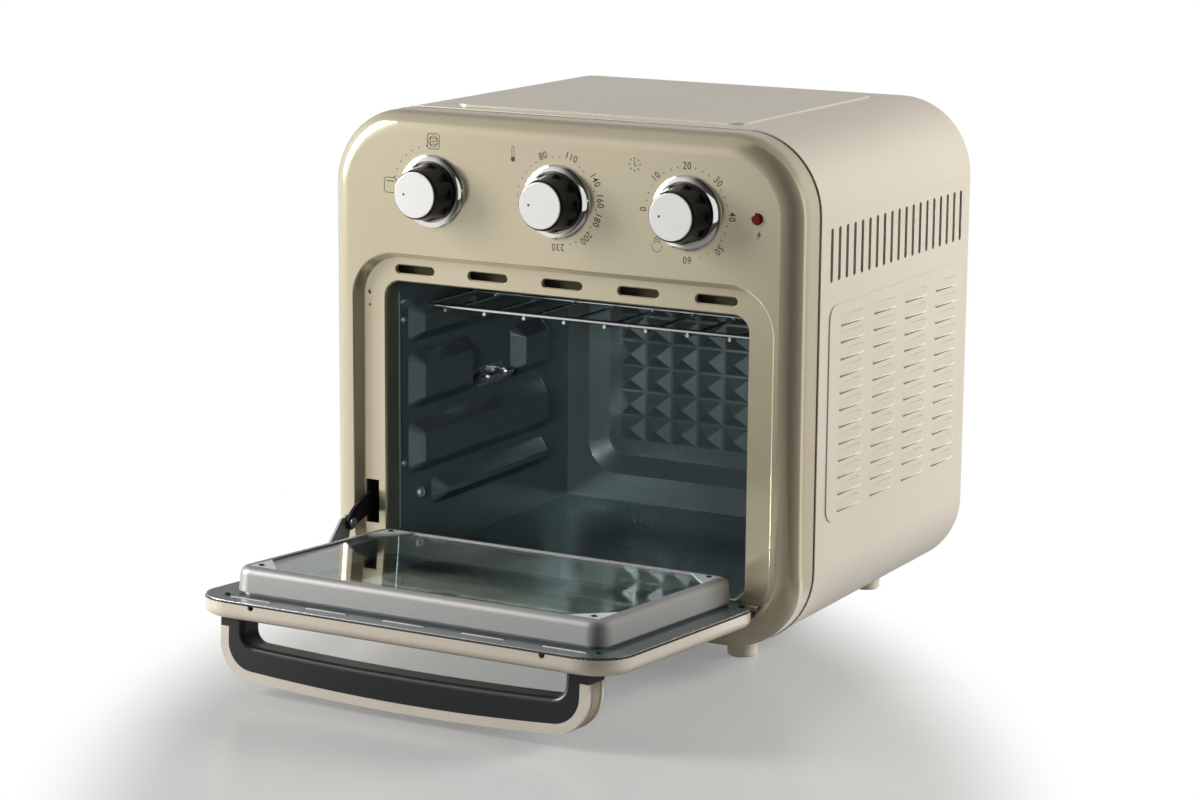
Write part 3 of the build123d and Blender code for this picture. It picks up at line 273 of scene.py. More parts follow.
def final_mesh(piece):
    """The mesh of an object as it is drawn, with its text or its modifiers worked out."""
    bpy.context.view_layer.update()
    return bpy.data.meshes.new_from_object(piece.evaluated_get(bpy.context.evaluated_depsgraph_get()))


number_size = 6.2
number_width = 0.86            # the printed figures are narrower than the font's
number_points, number_faces = [], []
for text, x, z in numbers:
    centre_x = temperature_x if x < 45 else timer_x
    away = math.atan2(x - centre_x, z - dial_z)
    curve = bpy.data.curves.new("number", "FONT")
    curve.body = text
    curve.size = number_size
    curve.space_character = 1.12
    curve.align_x = "CENTER"
    curve.align_y = "CENTER"
    curve.resolution_u = 4
    curve.offset = 0.03
    holder = placed("number", curve)
    flat = final_mesh(holder)
    digits = []
    for vertex in flat.vertices:
        a, b = vertex.co.x * number_width, vertex.co.y
        digits.append((x + a * math.cos(away) + b * math.sin(away), ink_front,
                       z - a * math.sin(away) + b * math.cos(away)))
    join(number_points, number_faces, digits, [face.vertices for face in flat.polygons])
    bpy.data.objects.remove(holder)
dial_numbers = piece_of("dial_numbers", number_points, number_faces, printing_ink, "oven")


# --------------------------------------------------
# Indicator lamp. A domed lens of red polycarbonate pushed through the front, with a small neon
# lamp behind it; unlit, it is dark in the middle and bright on the side that the light comes from.
# --------------------------------------------------

# Red polycarbonate: see-through and glossy, it gives a deep red spot with a bright pinpoint.
red_lens, place = finish("red_polycarbonate")
ribs = add(red_lens, "TexWave", {"Scale": 420.0}, {"Vector": place}, wave_type="RINGS", rings_direction="Y")
tone = add(red_lens, "ValToRGB", links={"Fac": ribs.outputs["Fac"]}, stops=((0.0, "640609"), (1.0, "820D12")))
lens = add(red_lens, "BsdfPrincipled",
           {"Roughness": 0.1, "IOR": 1.58, "Specular IOR Level": 0.25, "Transmission Weight": 0.25},
           {"Base Color": tone})
dress(["indicator_lens"], red_lens, lens)


# --------------------------------------------------
# Dials. Each has a chrome-plated coned ring on the front, a fluted skirt moulded in black ABS,
# and a pearl-lacquered cap with one small pointer dot, pushed on a half-round steel shaft.
# --------------------------------------------------

def turned(profile, steps, centre):
    """Points and faces of a (radius, along y) profile in millimetres turned round y at a centre."""
    cx, cy, cz = centre
    points = []
    for i in range(steps):
        t = 2 * math.pi * i / steps
        for radius, along in profile:
            points.append((cx + radius * math.cos(t), cy + along, cz + radius * math.sin(t)))
    count = len(profile)
    faces = []
    for i in range(steps):
        j = (i + 1) % steps
        for k in range(count - 1):
            faces.append([i * count + k, i * count + k + 1, j * count + k + 1, j * count + k])
    return points, faces


# Bright chrome plate on ABS: a near mirror, so it shows the room and the black skirt beside it.
chrome_plate, place = finish("chrome_plate_on_abs")
haze = add(chrome_plate, "TexNoise", {"Scale": 400.0, "Detail": 3.0}, {"Vector": place})
polish = add(chrome_plate, "MapRange", {"To Min": 0.04, "To Max": 0.09}, {"Value": haze})
mirror = add(chrome_plate, "BsdfPrincipled", {"Base Color": linear("ECEBE8"), "Metallic": 1.0},
             {"Roughness": polish})
dress([], chrome_plate, mirror)

# coned ring: it rises a little towards the skirt and ends outside in a rolled lip
ring_profile = [(18.35, 0.0), (18.4, -2.4), (18.5, -2.75), (18.7, -2.85), (19.0, -2.8), (20.2, -2.45), (21.3, -2.1),
                (21.7, -1.9), (22.1, -1.5), (22.35, -0.9), (22.4, 0.0)]
ring_points, ring_faces = [], []
for x in (function_x, temperature_x, timer_x):
    join(ring_points, ring_faces, *turned(ring_profile, 96, (x, front, dial_z)))
dial_rings = piece_of("dial_rings", ring_points, ring_faces, chrome_plate, "oven", smooth=True)
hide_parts("knob_bezels")

# Black ABS from a spark-eroded mould: a fine even grain that keeps its highlights broad and grey.
black_abs, place = finish("black_moulded_abs")
# mould grain is 0.1 mm, drawn 0.5 mm so that it shows
grain = add(black_abs, "TexNoise", {"Scale": 2000.0, "Detail": 2.0}, {"Vector": place})
tone = add(black_abs, "ValToRGB", links={"Fac": grain}, stops=((0.0, "141517"), (1.0, "222427")))
rough = add(black_abs, "Bump", {"Strength": 0.25, "Distance": 0.00003}, {"Height": grain})
skirt = add(black_abs, "BsdfPrincipled", {"Roughness": 0.3, "IOR": 1.53}, {"Base Color": tone, "Normal": rough})
dress(["function_knob", "temperature_knob", "timer_knob"], black_abs, skirt)

# White pearl lacquer on the caps: satin, with a slow metallic shading across the disc.
cap_lacquer = mottled("white_pearl_lacquer", 60.0, "E8E6E2", "EFEEEB",
                      {"Metallic": 0.25, "Roughness": 0.32, "Coat Weight": 0.3, "Coat Roughness": 0.12})
dress(["function_knob_cap", "temperature_knob_cap", "timer_knob_cap"], cap_lacquer)
pointer_offset = 7.4           # from the middle of the cap
for name, x in (("function", function_x), ("temperature", temperature_x), ("timer", timer_x)):
    cap_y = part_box(name + "_knob_cap")[0].y * 1000
    points, faces = turned([(0.0, -0.05), (0.75, -0.05), (0.75, 0.2)], 16, (x - pointer_offset, cap_y, dial_z))
    dot = piece_of(name + "_pointer_dot", points, faces, printing_ink, name + "_knob")


# --------------------------------------------------
# Outer casing, rear cover and their screws. Low-carbon steel sheet, pressed and punched, wrapped
# round in one piece, and coated with the same champagne enamel, baked on; the cover screws on.
# --------------------------------------------------

# Baked enamel on sheet: smoother and lighter than the front, with a fine orange peel from the gun.
baked_enamel, place = finish("baked_enamel_on_steel")
drift = add(baked_enamel, "TexNoise", {"Scale": 7.0, "Detail": 2.0}, {"Vector": place})
tone = add(baked_enamel, "ValToRGB", links={"Fac": drift}, stops=((0.3, "D6CCBB"), (0.7, "DBD2C2")))
# orange peel, 2.5 mm from crest to crest
peel_cells = add(baked_enamel, "TexNoise", {"Scale": 400.0, "Detail": 2.0}, {"Vector": place})
peel = add(baked_enamel, "Bump", {"Strength": 0.12, "Distance": 0.00004}, {"Height": peel_cells})
gloss = add(baked_enamel, "MapRange", {"To Min": 0.26, "To Max": 0.34}, {"Value": peel_cells})
enamel = add(baked_enamel, "BsdfPrincipled", {"Metallic": 0.3, "Coat Weight": 0.3, "Coat Roughness": 0.08},
             {"Base Color": tone, "Roughness": gloss, "Normal": peel})
dress(["outer_casing", "rear_cover"], baked_enamel, enamel)


def rounded_loop(left, right, low, high, radius, steps=14):
    """Points round a rounded rectangle, anticlockwise from the right end of its lower edge."""
    loop = []
    for cx, cz, start in ((right - radius, low + radius, -90), (right - radius, high - radius, 0),
                          (left + radius, high - radius, 90), (left + radius, low + radius, 180)):
        for i in range(steps + 1):
            t = math.radians(start + 90 * i / steps)
            loop.append((cx + radius * math.cos(t), cz + radius * math.sin(t)))
    return loop


# the joint between front and casing: a shallow dark groove, with a soft lip of paint on the front's
# side and the rolled edge of the sheet, 0.7 mm proud, on the casing's
joint_y = front + 26.0
casing_half, casing_low, casing_high, casing_corner = 160.0, 14.0, 320.0, 48.0
groove_rows = [(-2.2, 0.02), (-1.5, 0.26), (-1.1, 0.08),
               (0.6, 0.08), (0.65, 0.5), (0.95, 0.72), (1.5, 0.7), (2.4, 0.3), (3.0, 0.02)]


def ribbon(row_count, points, closed=True):
    """Faces between rows of points that lie one after the other in a list."""
    count = len(points) // row_count
    faces = []
    for r in range(row_count - 1):
        for i in range(count if closed else count - 1):
            j = (i + 1) % count
            faces.append([r * count + i, r * count + j, (r + 1) * count + j, (r + 1) * count + i])
    return faces


def band_round(name, rows, made, smooth):
    """A band round the casing: rows of (along y, proud of the casing)."""
    points = []
    for along, proud in rows:
        loop = rounded_loop(-casing_half - proud, casing_half + proud, casing_low - proud, casing_high + proud,
                            casing_corner + proud)
        points += [(x, joint_y + along, z) for x, z in loop]
    band = piece_of(name, points, ribbon(len(rows), points), made, "oven", smooth)


band_round("front_joint_lip", groove_rows[:3], pearl_lacquer, True)
band_round("casing_joint_lip", groove_rows[3:], baked_enamel, True)

# Shadow in the joint: a dark strip painted in as the joint's shadow, which the eye reads as depth.
painted_gap_shadow = mottled("painted_joint_shadow", 300.0, "221E15", "35302A", {"Roughness": 0.8})
band_round("joint_gap", [(-1.15, 0.07), (0.65, 0.07)], painted_gap_shadow, False)


# Louvres: each scoop's sheared lower edge has a rolled lip that follows the ramp and hooks up
# round the open end; under it lies the shade of the slit.
panel_x = 160.8                # the face of the side panels
louvre_y, louvre_z = front + 69.6, 208.0
louvre_step_y, louvre_step_z = 47.6, 10.2
slit_points, slit_faces, lip_points, lip_faces = [], [], [], []


def bar(points, faces, path, width, thick):
    """A bead along (y, z, height off the panel) places, on both side panels."""
    for sx in (-1, 1):
        start = len(points)
        for k, (y, z, off) in enumerate(path):
            before = path[max(k - 1, 0)]
            after = path[min(k + 1, len(path) - 1)]
            dy, dz = after[0] - before[0], after[1] - before[1]
            size = math.hypot(dy, dz)
            ny, nz = -dz / size * width / 2, dy / size * width / 2
            for share, rise in ((1.0, -0.2), (0.8, thick * 0.6), (0.35, thick),
                                (-0.35, thick), (-0.8, thick * 0.6), (-1.0, -0.2)):
                points.append((sx * (panel_x + off + rise), y + ny * share, z + nz * share))
        for k in range(len(path) - 1):
            for m in range(6):
                n = (m + 1) % 6
                faces.append([start + 6 * k + m, start + 6 * k + n, start + 6 * k + 6 + n, start + 6 * k + 6 + m])
        faces.append([start + m for m in range(6)])
        last = start + 6 * (len(path) - 1)
        faces.append([last + 5 - m for m in range(6)])


for column in range(4):
    for row in range(12):
        y = louvre_y + louvre_step_y * column
        z = louvre_z - louvre_step_z * row
        bar(slit_points, slit_faces, [(y - 13.0, z - 3.5, 0.0), (y + 13.5, z - 3.5, 0.0), (y + 15.6, z - 2.9, 0.0),
                                      (y + 16.4, z - 2.0, 0.0)], 1.5, 0.08)
        bar(lip_points, lip_faces, [(y - 14.0, z - 2.7, 0.1), (y + 11.5, z - 2.7, 1.95), (y + 14.4, z - 2.5, 2.0),
                                    (y + 15.2, z - 1.7, 2.0), (y + 15.4, z + 1.6, 2.0)], 0.65, 0.2)

# Slit shade: an olive strip painted on the panel under each lip, as the slit's shadow.
slit_shadow_paint = mottled("painted_slit_shadow", 300.0, "6A614E", "80765F", {"Roughness": 0.7})
louvre_slits = piece_of("louvre_slits", slit_points, slit_faces, slit_shadow_paint, "oven")
# The lip is painted lighter and wetter than the enamel round it, as a painted highlight.
lip_highlight_enamel = mottled("painted_highlight_lip", 120.0, "EFE8DA", "F8F4EA", {"Roughness": 0.15})
louvre_lips = piece_of("louvre_lips", lip_points, lip_faces, lip_highlight_enamel, "oven", smooth=True)

# Behind the slots: a needled glass-fibre mat, painted dark olive as the shade inside the slots, that closes the
# view inside.
slot_shade_mat, place = finish("painted_slot_shade_mat")
fibre = add(slot_shade_mat, "TexNoise", {"Scale": 500.0, "Detail": 4.0, "Distortion": 2.0}, {"Vector": place})
tone = add(slot_shade_mat, "ValToRGB", links={"Fac": fibre}, stops=((0.0, "3B3527"), (1.0, "6E654F")))
felt = add(slot_shade_mat, "Bump", {"Strength": 0.5, "Distance": 0.0004}, {"Height": fibre})
mat = add(slot_shade_mat, "BsdfPrincipled", {"Roughness": 0.9}, {"Base Color": tone, "Normal": felt})
dress([], slot_shade_mat, mat)


def quilt(name, corner, across, upward, bulge):
    """A quilted mat in millimetres: a corner, its two edges, and how far it puffs between stitches."""
    columns, rows = 28, 6
    points = []
    for r in range(rows + 1):
        for c in range(columns + 1):
            puff = abs(math.sin(c * math.pi / 4)) * math.sin(r * math.pi / rows)
            points.append(tuple(corner[i] + across[i] * c / columns + upward[i] * r / rows + bulge[i] * puff
                                for i in range(3)))
    made = piece_of(name, points, ribbon(rows + 1, points, closed=False), slot_shade_mat, "oven", smooth=True)


for side_name, sx in (("left", -1), ("right", 1)):
    quilt("side_mat_" + side_name, (sx * 155.0, front + 38.0, 228.0), (0, 208.0, 0), (0, 0, 40.0), (sx * 1.5, 0, 0))
quilt("front_mat", (-122.0, front + 15.0, 217.0), (244.0, 0, 0), (0, 0, 14.0), (0, -1.5, 0))


def screw_mesh(radius, height, spot, facing):
    """Pan head with a pressed cross recess, at a spot in millimetres, its crown facing a direction."""
    shape = bmesh.new()
    steps = 24
    rings = []
    for wide, tall in ((1.0, 0.0), (1.0, 0.35), (0.94, 0.62), (0.8, 0.82), (0.55, 0.95), (0.28, 1.0)):
        rings.append([shape.verts.new((radius * wide * math.cos(2 * math.pi * i / steps),
                                       radius * wide * math.sin(2 * math.pi * i / steps), height * tall))
                      for i in range(steps)])
    for lower, upper in zip(rings, rings[1:]):
        for i in range(steps):
            j = (i + 1) % steps
            shape.faces.new((lower[i], lower[j], upper[j], upper[i]))
    shape.faces.new(rings[-1])
    shape.faces.new(list(reversed(rings[0])))
    head = bpy.data.meshes.new("head")
    shape.to_mesh(head)
    shape.free()
    # the cross: four arms that draw in towards the bottom of the recess
    arm, wide, deep = radius * 0.62, radius * 0.17, height * 0.75
    cross = bmesh.new()
    outline = [(arm, wide), (wide, wide), (wide, arm), (-wide, arm), (-wide, wide), (-arm, wide), (-arm, -wide),
               (-wide, -wide), (-wide, -arm), (wide, -arm), (wide, -wide), (arm, -wide)]
    upper = [cross.verts.new((x, y, height + 0.4)) for x, y in outline]
    lower = [cross.verts.new((x * 0.45, y * 0.7, height - deep)) for x, y in outline]
    cross.faces.new(upper)
    cross.faces.new(list(reversed(lower)))
    for i in range(12):
        j = (i + 1) % 12
        cross.faces.new((upper[j], upper[i], lower[i], lower[j]))
    tool = bpy.data.meshes.new("cross")
    cross.to_mesh(tool)
    cross.free()
    head_piece = placed("head", head)
    tool_piece = placed("cross", tool)
    cut = head_piece.modifiers.new("cut", "BOOLEAN")
    cut.operation = "DIFFERENCE"
    cut.solver = "EXACT"
    cut.object = tool_piece
    made = final_mesh(head_piece)
    turn = Vector((0, 0, 1)).rotation_difference(Vector(facing).normalized()).to_matrix()
    points = [tuple(Vector(spot) + turn @ v.co) for v in made.vertices]
    faces = [list(face.vertices) for face in made.polygons]
    bpy.data.objects.remove(head_piece)
    bpy.data.objects.remove(tool_piece)
    return points, faces


def screws_piece(name, places, made, body, replaced):
    """All the screws of one CAD node as one piece: places are (radius, height, spot, facing)."""
    points, faces = [], []
    for place in places:
        join(points, faces, *screw_mesh(*place))
    piece = piece_of(name, points, faces, made, body)
    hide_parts(replaced)


# Zinc-plated steel: bluish grey and satin, a little clouded by the passivation bath.
zinc_plate, place = finish("zinc_plated_steel")
cloud = add(zinc_plate, "TexNoise", {"Scale": 900.0, "Detail": 3.0}, {"Vector": place})
tone = add(zinc_plate, "ValToRGB", links={"Fac": cloud}, stops=((0.0, "A9ADB1"), (1.0, "D2D4D6")))
satin = add(zinc_plate, "MapRange", {"To Min": 0.2, "To Max": 0.36}, {"Value": cloud})
plated = add(zinc_plate, "BsdfPrincipled", {"Metallic": 0.8}, {"Base Color": tone, "Roughness": satin})
dress([], zinc_plate, plated)

rear_y = front + 252.0
cover_places = [(3.2, 2.2, (sx * 138.0, rear_y, z), (0, 1, 0)) for sx in (-1, 1) for z in (110.0, 225.0)]
cover_places += [(3.2, 2.2, (sx * 60.0, rear_y, z), (0, 1, 0)) for sx in (-1, 1) for z in (30.0, 306.0)]
screws_piece("cover_cross_screws", cover_places, zinc_plate, "oven", "rear_cover_screws")


# --------------------------------------------------
# Cord gland. A round bush of black nylon pressed into the rear cover; no lead is modelled.
# --------------------------------------------------

# Black nylon: softer and duller than the ABS, with a drawn, slightly waxy surface.
black_nylon = mottled("black_nylon", 700.0, "18191A", "26282A", {"Roughness": 0.5, "IOR": 1.53})
dress(["cord_gland"], black_nylon)


# --------------------------------------------------
# Base plate and feet. The plate is hot-dip galvanised sheet with punched cooling slots; the feet
# are moulded in cream ABS, each held by a countersunk screw in a pocket in its underside.
# --------------------------------------------------

# Galvanised sheet: grey, with zinc crystals of some 8 mm that each shine a little differently.
galvanised_sheet, place = finish("galvanised_sheet")
crystals = add(galvanised_sheet, "TexVoronoi", {"Scale": 125.0}, {"Vector": place})
tone = add(galvanised_sheet, "ValToRGB", links={"Fac": crystals.outputs["Color"]},
           stops=((0.0, "9A9EA1"), (1.0, "BFC3C6")))
spangle = add(galvanised_sheet, "MapRange", {"To Min": 0.3, "To Max": 0.5}, {"Value": crystals.outputs["Distance"]})
zinc = add(galvanised_sheet, "BsdfPrincipled", {"Metallic": 1.0}, {"Base Color": tone, "Roughness": spangle})
dress(["base_plate", "fan_room", "motor_bracket", "cooling_fan", "control_plate"], galvanised_sheet, zinc)

# Cream ABS, coloured through and left as moulded: matt and a touch warmer than the lacquer.
cream_abs, place = finish("cream_moulded_abs")
grain = add(cream_abs, "TexNoise", {"Scale": 1500.0, "Detail": 2.0}, {"Vector": place})
tone = add(cream_abs, "ValToRGB", links={"Fac": grain}, stops=((0.0, "D2C9B6"), (1.0, "D9D1C0")))
rough = add(cream_abs, "Bump", {"Strength": 0.2, "Distance": 0.00003}, {"Height": grain})
foot = add(cream_abs, "BsdfPrincipled", {"Roughness": 0.42, "IOR": 1.53},
           {"Base Color": tone, "Normal": rough})
dress(["feet"], cream_abs, foot)
foot_places = [(4.0, 2.2, (sx * 106.0, front + y, 5.9), (0, 0, -1)) for sx in (-1, 1) for y in (43.8, 226.0)]
screws_piece("foot_cross_screws", foot_places, zinc_plate, "oven", "foot_screws")


# --------------------------------------------------
# Cavity. Pressed aluminised steel with a dark blue-grey non-stick coating, baked on: two side
# walls with bosses that carry the rack, a studded rear pan, floor, ceiling, guard and mouth.
# --------------------------------------------------

# Non-stick coating: a satin dark blue-grey with fine mineral specks and soft, long highlights.
nonstick, place = finish("nonstick_coated_steel")
# specks are 0.1 mm, drawn 0.5 mm so that they show
specks = add(nonstick, "TexNoise", {"Scale": 2000.0, "Detail": 2.0}, {"Vector": place})
tone = add(nonstick, "ValToRGB", links={"Fac": specks}, stops=((0.35, "6C7A7B"), (0.75, "7A898A")))
bake = add(nonstick, "TexNoise", {"Scale": 30.0, "Detail": 3.0}, {"Vector": place})
gloss = add(nonstick, "MapRange", {"To Min": 0.2, "To Max": 0.3}, {"Value": bake})
grit = add(nonstick, "Bump", {"Strength": 0.12, "Distance": 0.00003}, {"Height": specks})
coating = add(nonstick, "BsdfPrincipled", {"Metallic": 0.78, "Specular IOR Level": 0.6},
              {"Base Color": tone, "Roughness": gloss, "Normal": grit})
dress(["cavity_left_wall", "cavity_right_wall", "cavity_rear_wall", "cavity_ceiling", "fan_guard"],
      nonstick, coating)

# The floor is the same satin coating painted darker as its shade, with fewer specks.
floor_shade_coating = mottled("cavity_floor_painted_shade", 50.0, "2F3B3F", "3B484C",
                        {"Metallic": 0.5, "Roughness": 0.25}, detail=3.0)
dress(["cavity_floor"], floor_shade_coating)

# The mouth: dark olive and satin.
mouth_steel = mottled("dark_olive_mouth", 40.0, "55544A", "67665B",
                      {"Metallic": 0.5, "Roughness": 0.38}, detail=3.0)
dress(["cavity_mouth"], mouth_steel)

wall_places = []
for y, z, size in ((27.5, 186.0, 1.9), (27.5, 94.5, 1.9), (47.0, 72.0, 3.4)):
    wall_places.append((size, size * 0.7, (-124.5, front + y, z), (1, 0, 0)))
    wall_places.append((size, size * 0.7, (124.5, front + y, z), (-1, 0, 0)))
screws_piece("wall_cross_screws", wall_places, zinc_plate, "oven", "cavity_screws")


# --------------------------------------------------
# Thermostat bulb. A capillary bulb of bright copper-nickel in a sprung clip of stainless strip,
# riveted to the left wall of the cavity.
# --------------------------------------------------

# Stainless strip: bright, with fine rolling lines along its length.
rolled_stainless, place = finish("rolled_stainless_strip")
along = add(rolled_stainless, "Mapping", {"Scale": (3000.0, 60.0, 3000.0)}, {"Vector": place})
lines = add(rolled_stainless, "TexNoise", {"Scale": 1.0, "Detail": 2.0}, {"Vector": along})
sheen = add(rolled_stainless, "MapRange", {"To Min": 0.16, "To Max": 0.34}, {"Value": lines})
strip = add(rolled_stainless, "BsdfPrincipled", {"Base Color": linear("C6C8CA"), "Metallic": 1.0},
            {"Roughness": sheen})
dress(["thermostat_bulb", "bulb_clip"], rolled_stainless, strip)


# --------------------------------------------------
# Heaters, fan and motor. Bent tube elements in a nickel alloy with ceramic bushes; a pressed
# steel impeller on one shaft with the cooling fan; a shaded-pole motor on a sheet bridge.
# --------------------------------------------------

# Element sheath: annealed nickel alloy, dull grey-brown, straw and blue where it has been hot.
element_sheath = mottled("annealed_element_sheath", 22.0, "6E6A63", "8C8277",
                         {"Metallic": 1.0, "Roughness": 0.42})
dress(["upper_heater", "lower_heater"], element_sheath)

# Steatite bushes and the switch bodies in white phenolic: chalky, hard and slightly speckled.
white_phenolic = mottled("white_phenolic", 1200.0, "D8D6CF", "E8E6E1",
                         {"Roughness": 0.55, "IOR": 1.6}, detail=3.0)
dress(["heater_bushes", "function_switch", "thermostat_body", "timer_body"], white_phenolic)
dress(["fan_impeller", "fan_shaft", "function_shaft", "temperature_shaft", "timer_shaft"], rolled_stainless)

# Motor: a stack of varnished laminations, dark brown, with the plies just showing from the side.
varnished_stack, place = finish("varnished_laminations")
# plies are 0.5 mm thick
plies = add(varnished_stack, "TexWave", {"Scale": 320.0}, {"Vector": place}, bands_direction="Z")
tone = add(varnished_stack, "ValToRGB", links={"Fac": plies.outputs["Fac"]},
           stops=((0.0, "3A2C22"), (1.0, "6B4B36")))
stack = add(varnished_stack, "BsdfPrincipled", {"Metallic": 0.6, "Roughness": 0.45}, {"Base Color": tone})
dress(["fan_motor"], varnished_stack, stack)


# --------------------------------------------------
# Rack. Low-carbon steel wire, resistance-welded, then barrel-polished and chrome plated; the
# heavier wire is the outer loop, and the bars lie under it from front to back.
# --------------------------------------------------

# Chrome on drawn wire: bright, but a little wavier than the dial rings from the drawing die.
chromed_wire, place = finish("chromed_drawn_wire")
draw = add(chromed_wire, "TexNoise", {"Scale": 350.0, "Detail": 2.0}, {"Vector": place})
polish = add(chromed_wire, "MapRange", {"To Min": 0.08, "To Max": 0.2}, {"Value": draw})
ripple = add(chromed_wire, "Bump", {"Strength": 0.1, "Distance": 0.00003}, {"Height": draw})
wire = add(chromed_wire, "BsdfPrincipled", {"Base Color": linear("DCDDDE"), "Metallic": 1.0},
           {"Roughness": polish, "Normal": ripple})
dress(["wire_rack"], chromed_wire, wire)


# --------------------------------------------------
# Door. A pressed skin in the casing's enamel, a coated steel liner crimped over its edge, and a
# cast glass frame that holds the inner pane with four corner clips; a second pane is outside.
# --------------------------------------------------

dress(["door_skin"], baked_enamel)

# Liner: the cavity's coating on flat sheet, which shows straight, stretched reflections.
liner_coating, place = finish("coated_liner_sheet")
specks = add(liner_coating, "TexNoise", {"Scale": 1800.0, "Detail": 2.0}, {"Vector": place})
tone = add(liner_coating, "ValToRGB", links={"Fac": specks}, stops=((0.0, "5B676B"), (1.0, "6E7B7F")))
gloss = add(liner_coating, "MapRange", {"To Min": 0.2, "To Max": 0.3}, {"Value": specks})
liner = add(liner_coating, "BsdfPrincipled", {"Metallic": 0.6}, {"Base Color": tone, "Roughness": gloss})
dress(["door_liner"], liner_coating, liner)

# Glass frame: die-cast aluminium under a satin grey silicone paint with a fine metallic grain.
cast_frame_paint, place = finish("painted_die_casting")
grain = add(cast_frame_paint, "TexNoise", {"Scale": 1400.0, "Detail": 3.0}, {"Vector": place})
tone = add(cast_frame_paint, "ValToRGB", links={"Fac": grain}, stops=((0.0, "999896"), (1.0, "AEADAB")))
skin_flow = add(cast_frame_paint, "Bump", {"Strength": 0.2, "Distance": 0.00004}, {"Height": grain})
casting = add(cast_frame_paint, "BsdfPrincipled", {"Metallic": 0.5, "Roughness": 0.45},
              {"Base Color": tone, "Normal": skin_flow})
dress(["glass_frame", "door_hinge_bracket"], cast_frame_paint, casting)

# Toughened float glass: clear with a trace of green, and flat enough for hard, straight reflections.
float_glass, place = finish("toughened_float_glass")
roll = add(float_glass, "TexNoise", {"Scale": 12.0, "Detail": 1.0}, {"Vector": place})
wave = add(float_glass, "Bump", {"Strength": 0.03, "Distance": 0.0002}, {"Height": roll})
pane = add(float_glass, "BsdfPrincipled",
           {"Base Color": linear("EAF3EF"), "Roughness": 0.0, "IOR": 1.52, "Transmission Weight": 1.0},
           {"Normal": wave})
dress(["inner_glass", "outer_glass"], float_glass, pane)
dress(["hinge_pins", "arm_pin"], zinc_plate)

# Black oxide on punched plate: near black, oily satin, rubbed lighter here and there.
black_oxide = mottled("black_oxide_plate", 160.0, "1E1F20", "3C3D3E",
                      {"Metallic": 0.8, "Roughness": 0.42}, detail=4.0)

door_tilt = math.radians(86.2)
hinge_y = front + 3.5
hinge_z = 41.3


def on_door(x, up, inward):
    """A place on the open door: up from the hinge axis along the door, inward towards the cavity."""
    return (x, hinge_y + inward * math.cos(door_tilt) - up * math.sin(door_tilt),
            hinge_z + inward * math.sin(door_tilt) + up * math.cos(door_tilt))


door_inward = tuple(Vector(on_door(0, 0, 1)) - Vector(on_door(0, 0, 0)))
# faces that screws sit on, inward from the hinge axis: the liner's, the glass frame's, the skin's
liner_face = 5.9 - 3.5
frame_face = liner_face + 16.0
skin_face = -5.1 + 1.5 - 3.5
door_places = []
for sx in (-1, 1):
    for z in (57.0, 196.5):
        door_places.append((1.8, 0.9, on_door(sx * 110.0, z - hinge_z, frame_face - 0.1), door_inward))
for sx in (-1, 1):
    for radius, height, x, z, inward in ((1.9, 0.9, 122.0, 213.0, liner_face), (1.9, 0.9, 130.0, 52.0, liner_face),
                                         (3.6, 2.4, 113.5, 211.0, skin_face)):
        door_places.append((radius, height, on_door(sx * x, z - hinge_z, inward), door_inward))
screws_piece("door_cross_screws", door_places, black_oxide, "door", "door_screws")


# the liner's crimped edge: a bright rounded hem of bare metal that runs round the door
def door_loop(inset, steps=12):
    """Points round the door's outline as (x, up from the hinge axis)."""
    half, low, high = 138.5 - inset, 38.6 - hinge_z + inset, 228.0 - hinge_z - inset
    return rounded_loop(-half, half, low, high, 24.0 - inset, steps)


def hem_round(name, rows, made):
    """A band round the door: rows of (inset from the outline, inward from the liner's face)."""
    points = []
    for inset, inward in rows:
        points += [on_door(x, up, liner_face + inward) for x, up in door_loop(inset)]
    hem = piece_of(name, points, ribbon(len(rows), points), made, "door", smooth=True)


hem_round("liner_hem", [(0.35, -0.5), (0.3, -0.15), (0.5, 0.12), (0.95, 0.15), (1.3, 0.02)], rolled_stainless)
# a dark strip outside the hem: painted shadow in the gap between liner and skin
hem_round("liner_joint_gap", [(0.33, -0.5), (0.05, -0.75), (-0.04, -1.1), (-0.04, -1.45)], painted_gap_shadow)

# the liner's five vent slots: the near edge of each is turned up, and painted bright as a highlight
slot_points, slot_faces = [], []
for x in (-103.2, -51.6, 0.0, 51.6, 103.2):
    start = len(slot_points)
    rows = ((-1.7, 0.0), (-1.35, 0.45), (-0.75, 0.5), (-0.4, 0.05))
    for along_x in (-14.0, -12.8, 12.8, 14.0):
        shrink = 0.25 if abs(along_x) > 13 else 1.0
        for up_by, rise in rows:
            slot_points.append(on_door(x + along_x, 216.0 - hinge_z - up_by * 0.9,
                                       liner_face - 0.1 + rise * shrink))
    for k in range(3):
        for m in range(3):
            i = start + 4 * k + m
            slot_faces.append([i, i + 1, i + 5, i + 4])
# Painted highlight: each lip is painted near white where it would catch the light, so it shows as five white
# dashes.
# The glass's corner clips are as bright.
slot_highlight_and_clip_steel = mottled("painted_slot_highlight_and_clip_steel", 600.0, "D9DCDC", "F2F4F4", {"Metallic": 0.3, "Roughness": 0.3})
slot_lips = piece_of("liner_slot_lips", slot_points, slot_faces, slot_highlight_and_clip_steel, "door", smooth=True)
dress(["glass_clips"], slot_highlight_and_clip_steel)


# --------------------------------------------------
# Handle. A black core moulded in heat-resistant nylon carries a cream shell with a taupe strip
# between two chrome lines; two screws through the door skin hold its feet.
# --------------------------------------------------

dress(["handle_core"], black_abs)

# Shell lacquer: the front's colour with less pearl, so it stays light beside the black core.
shell_lacquer = mottled("satin_lacquer_on_abs", 45.0, "D2C9B8", "DDD5C7",
                        {"Metallic": 0.2, "Roughness": 0.25, "Coat Weight": 0.5, "Coat Roughness": 0.06})
dress(["handle_shell"], shell_lacquer)
dress(["handle_trims"], chrome_plate)

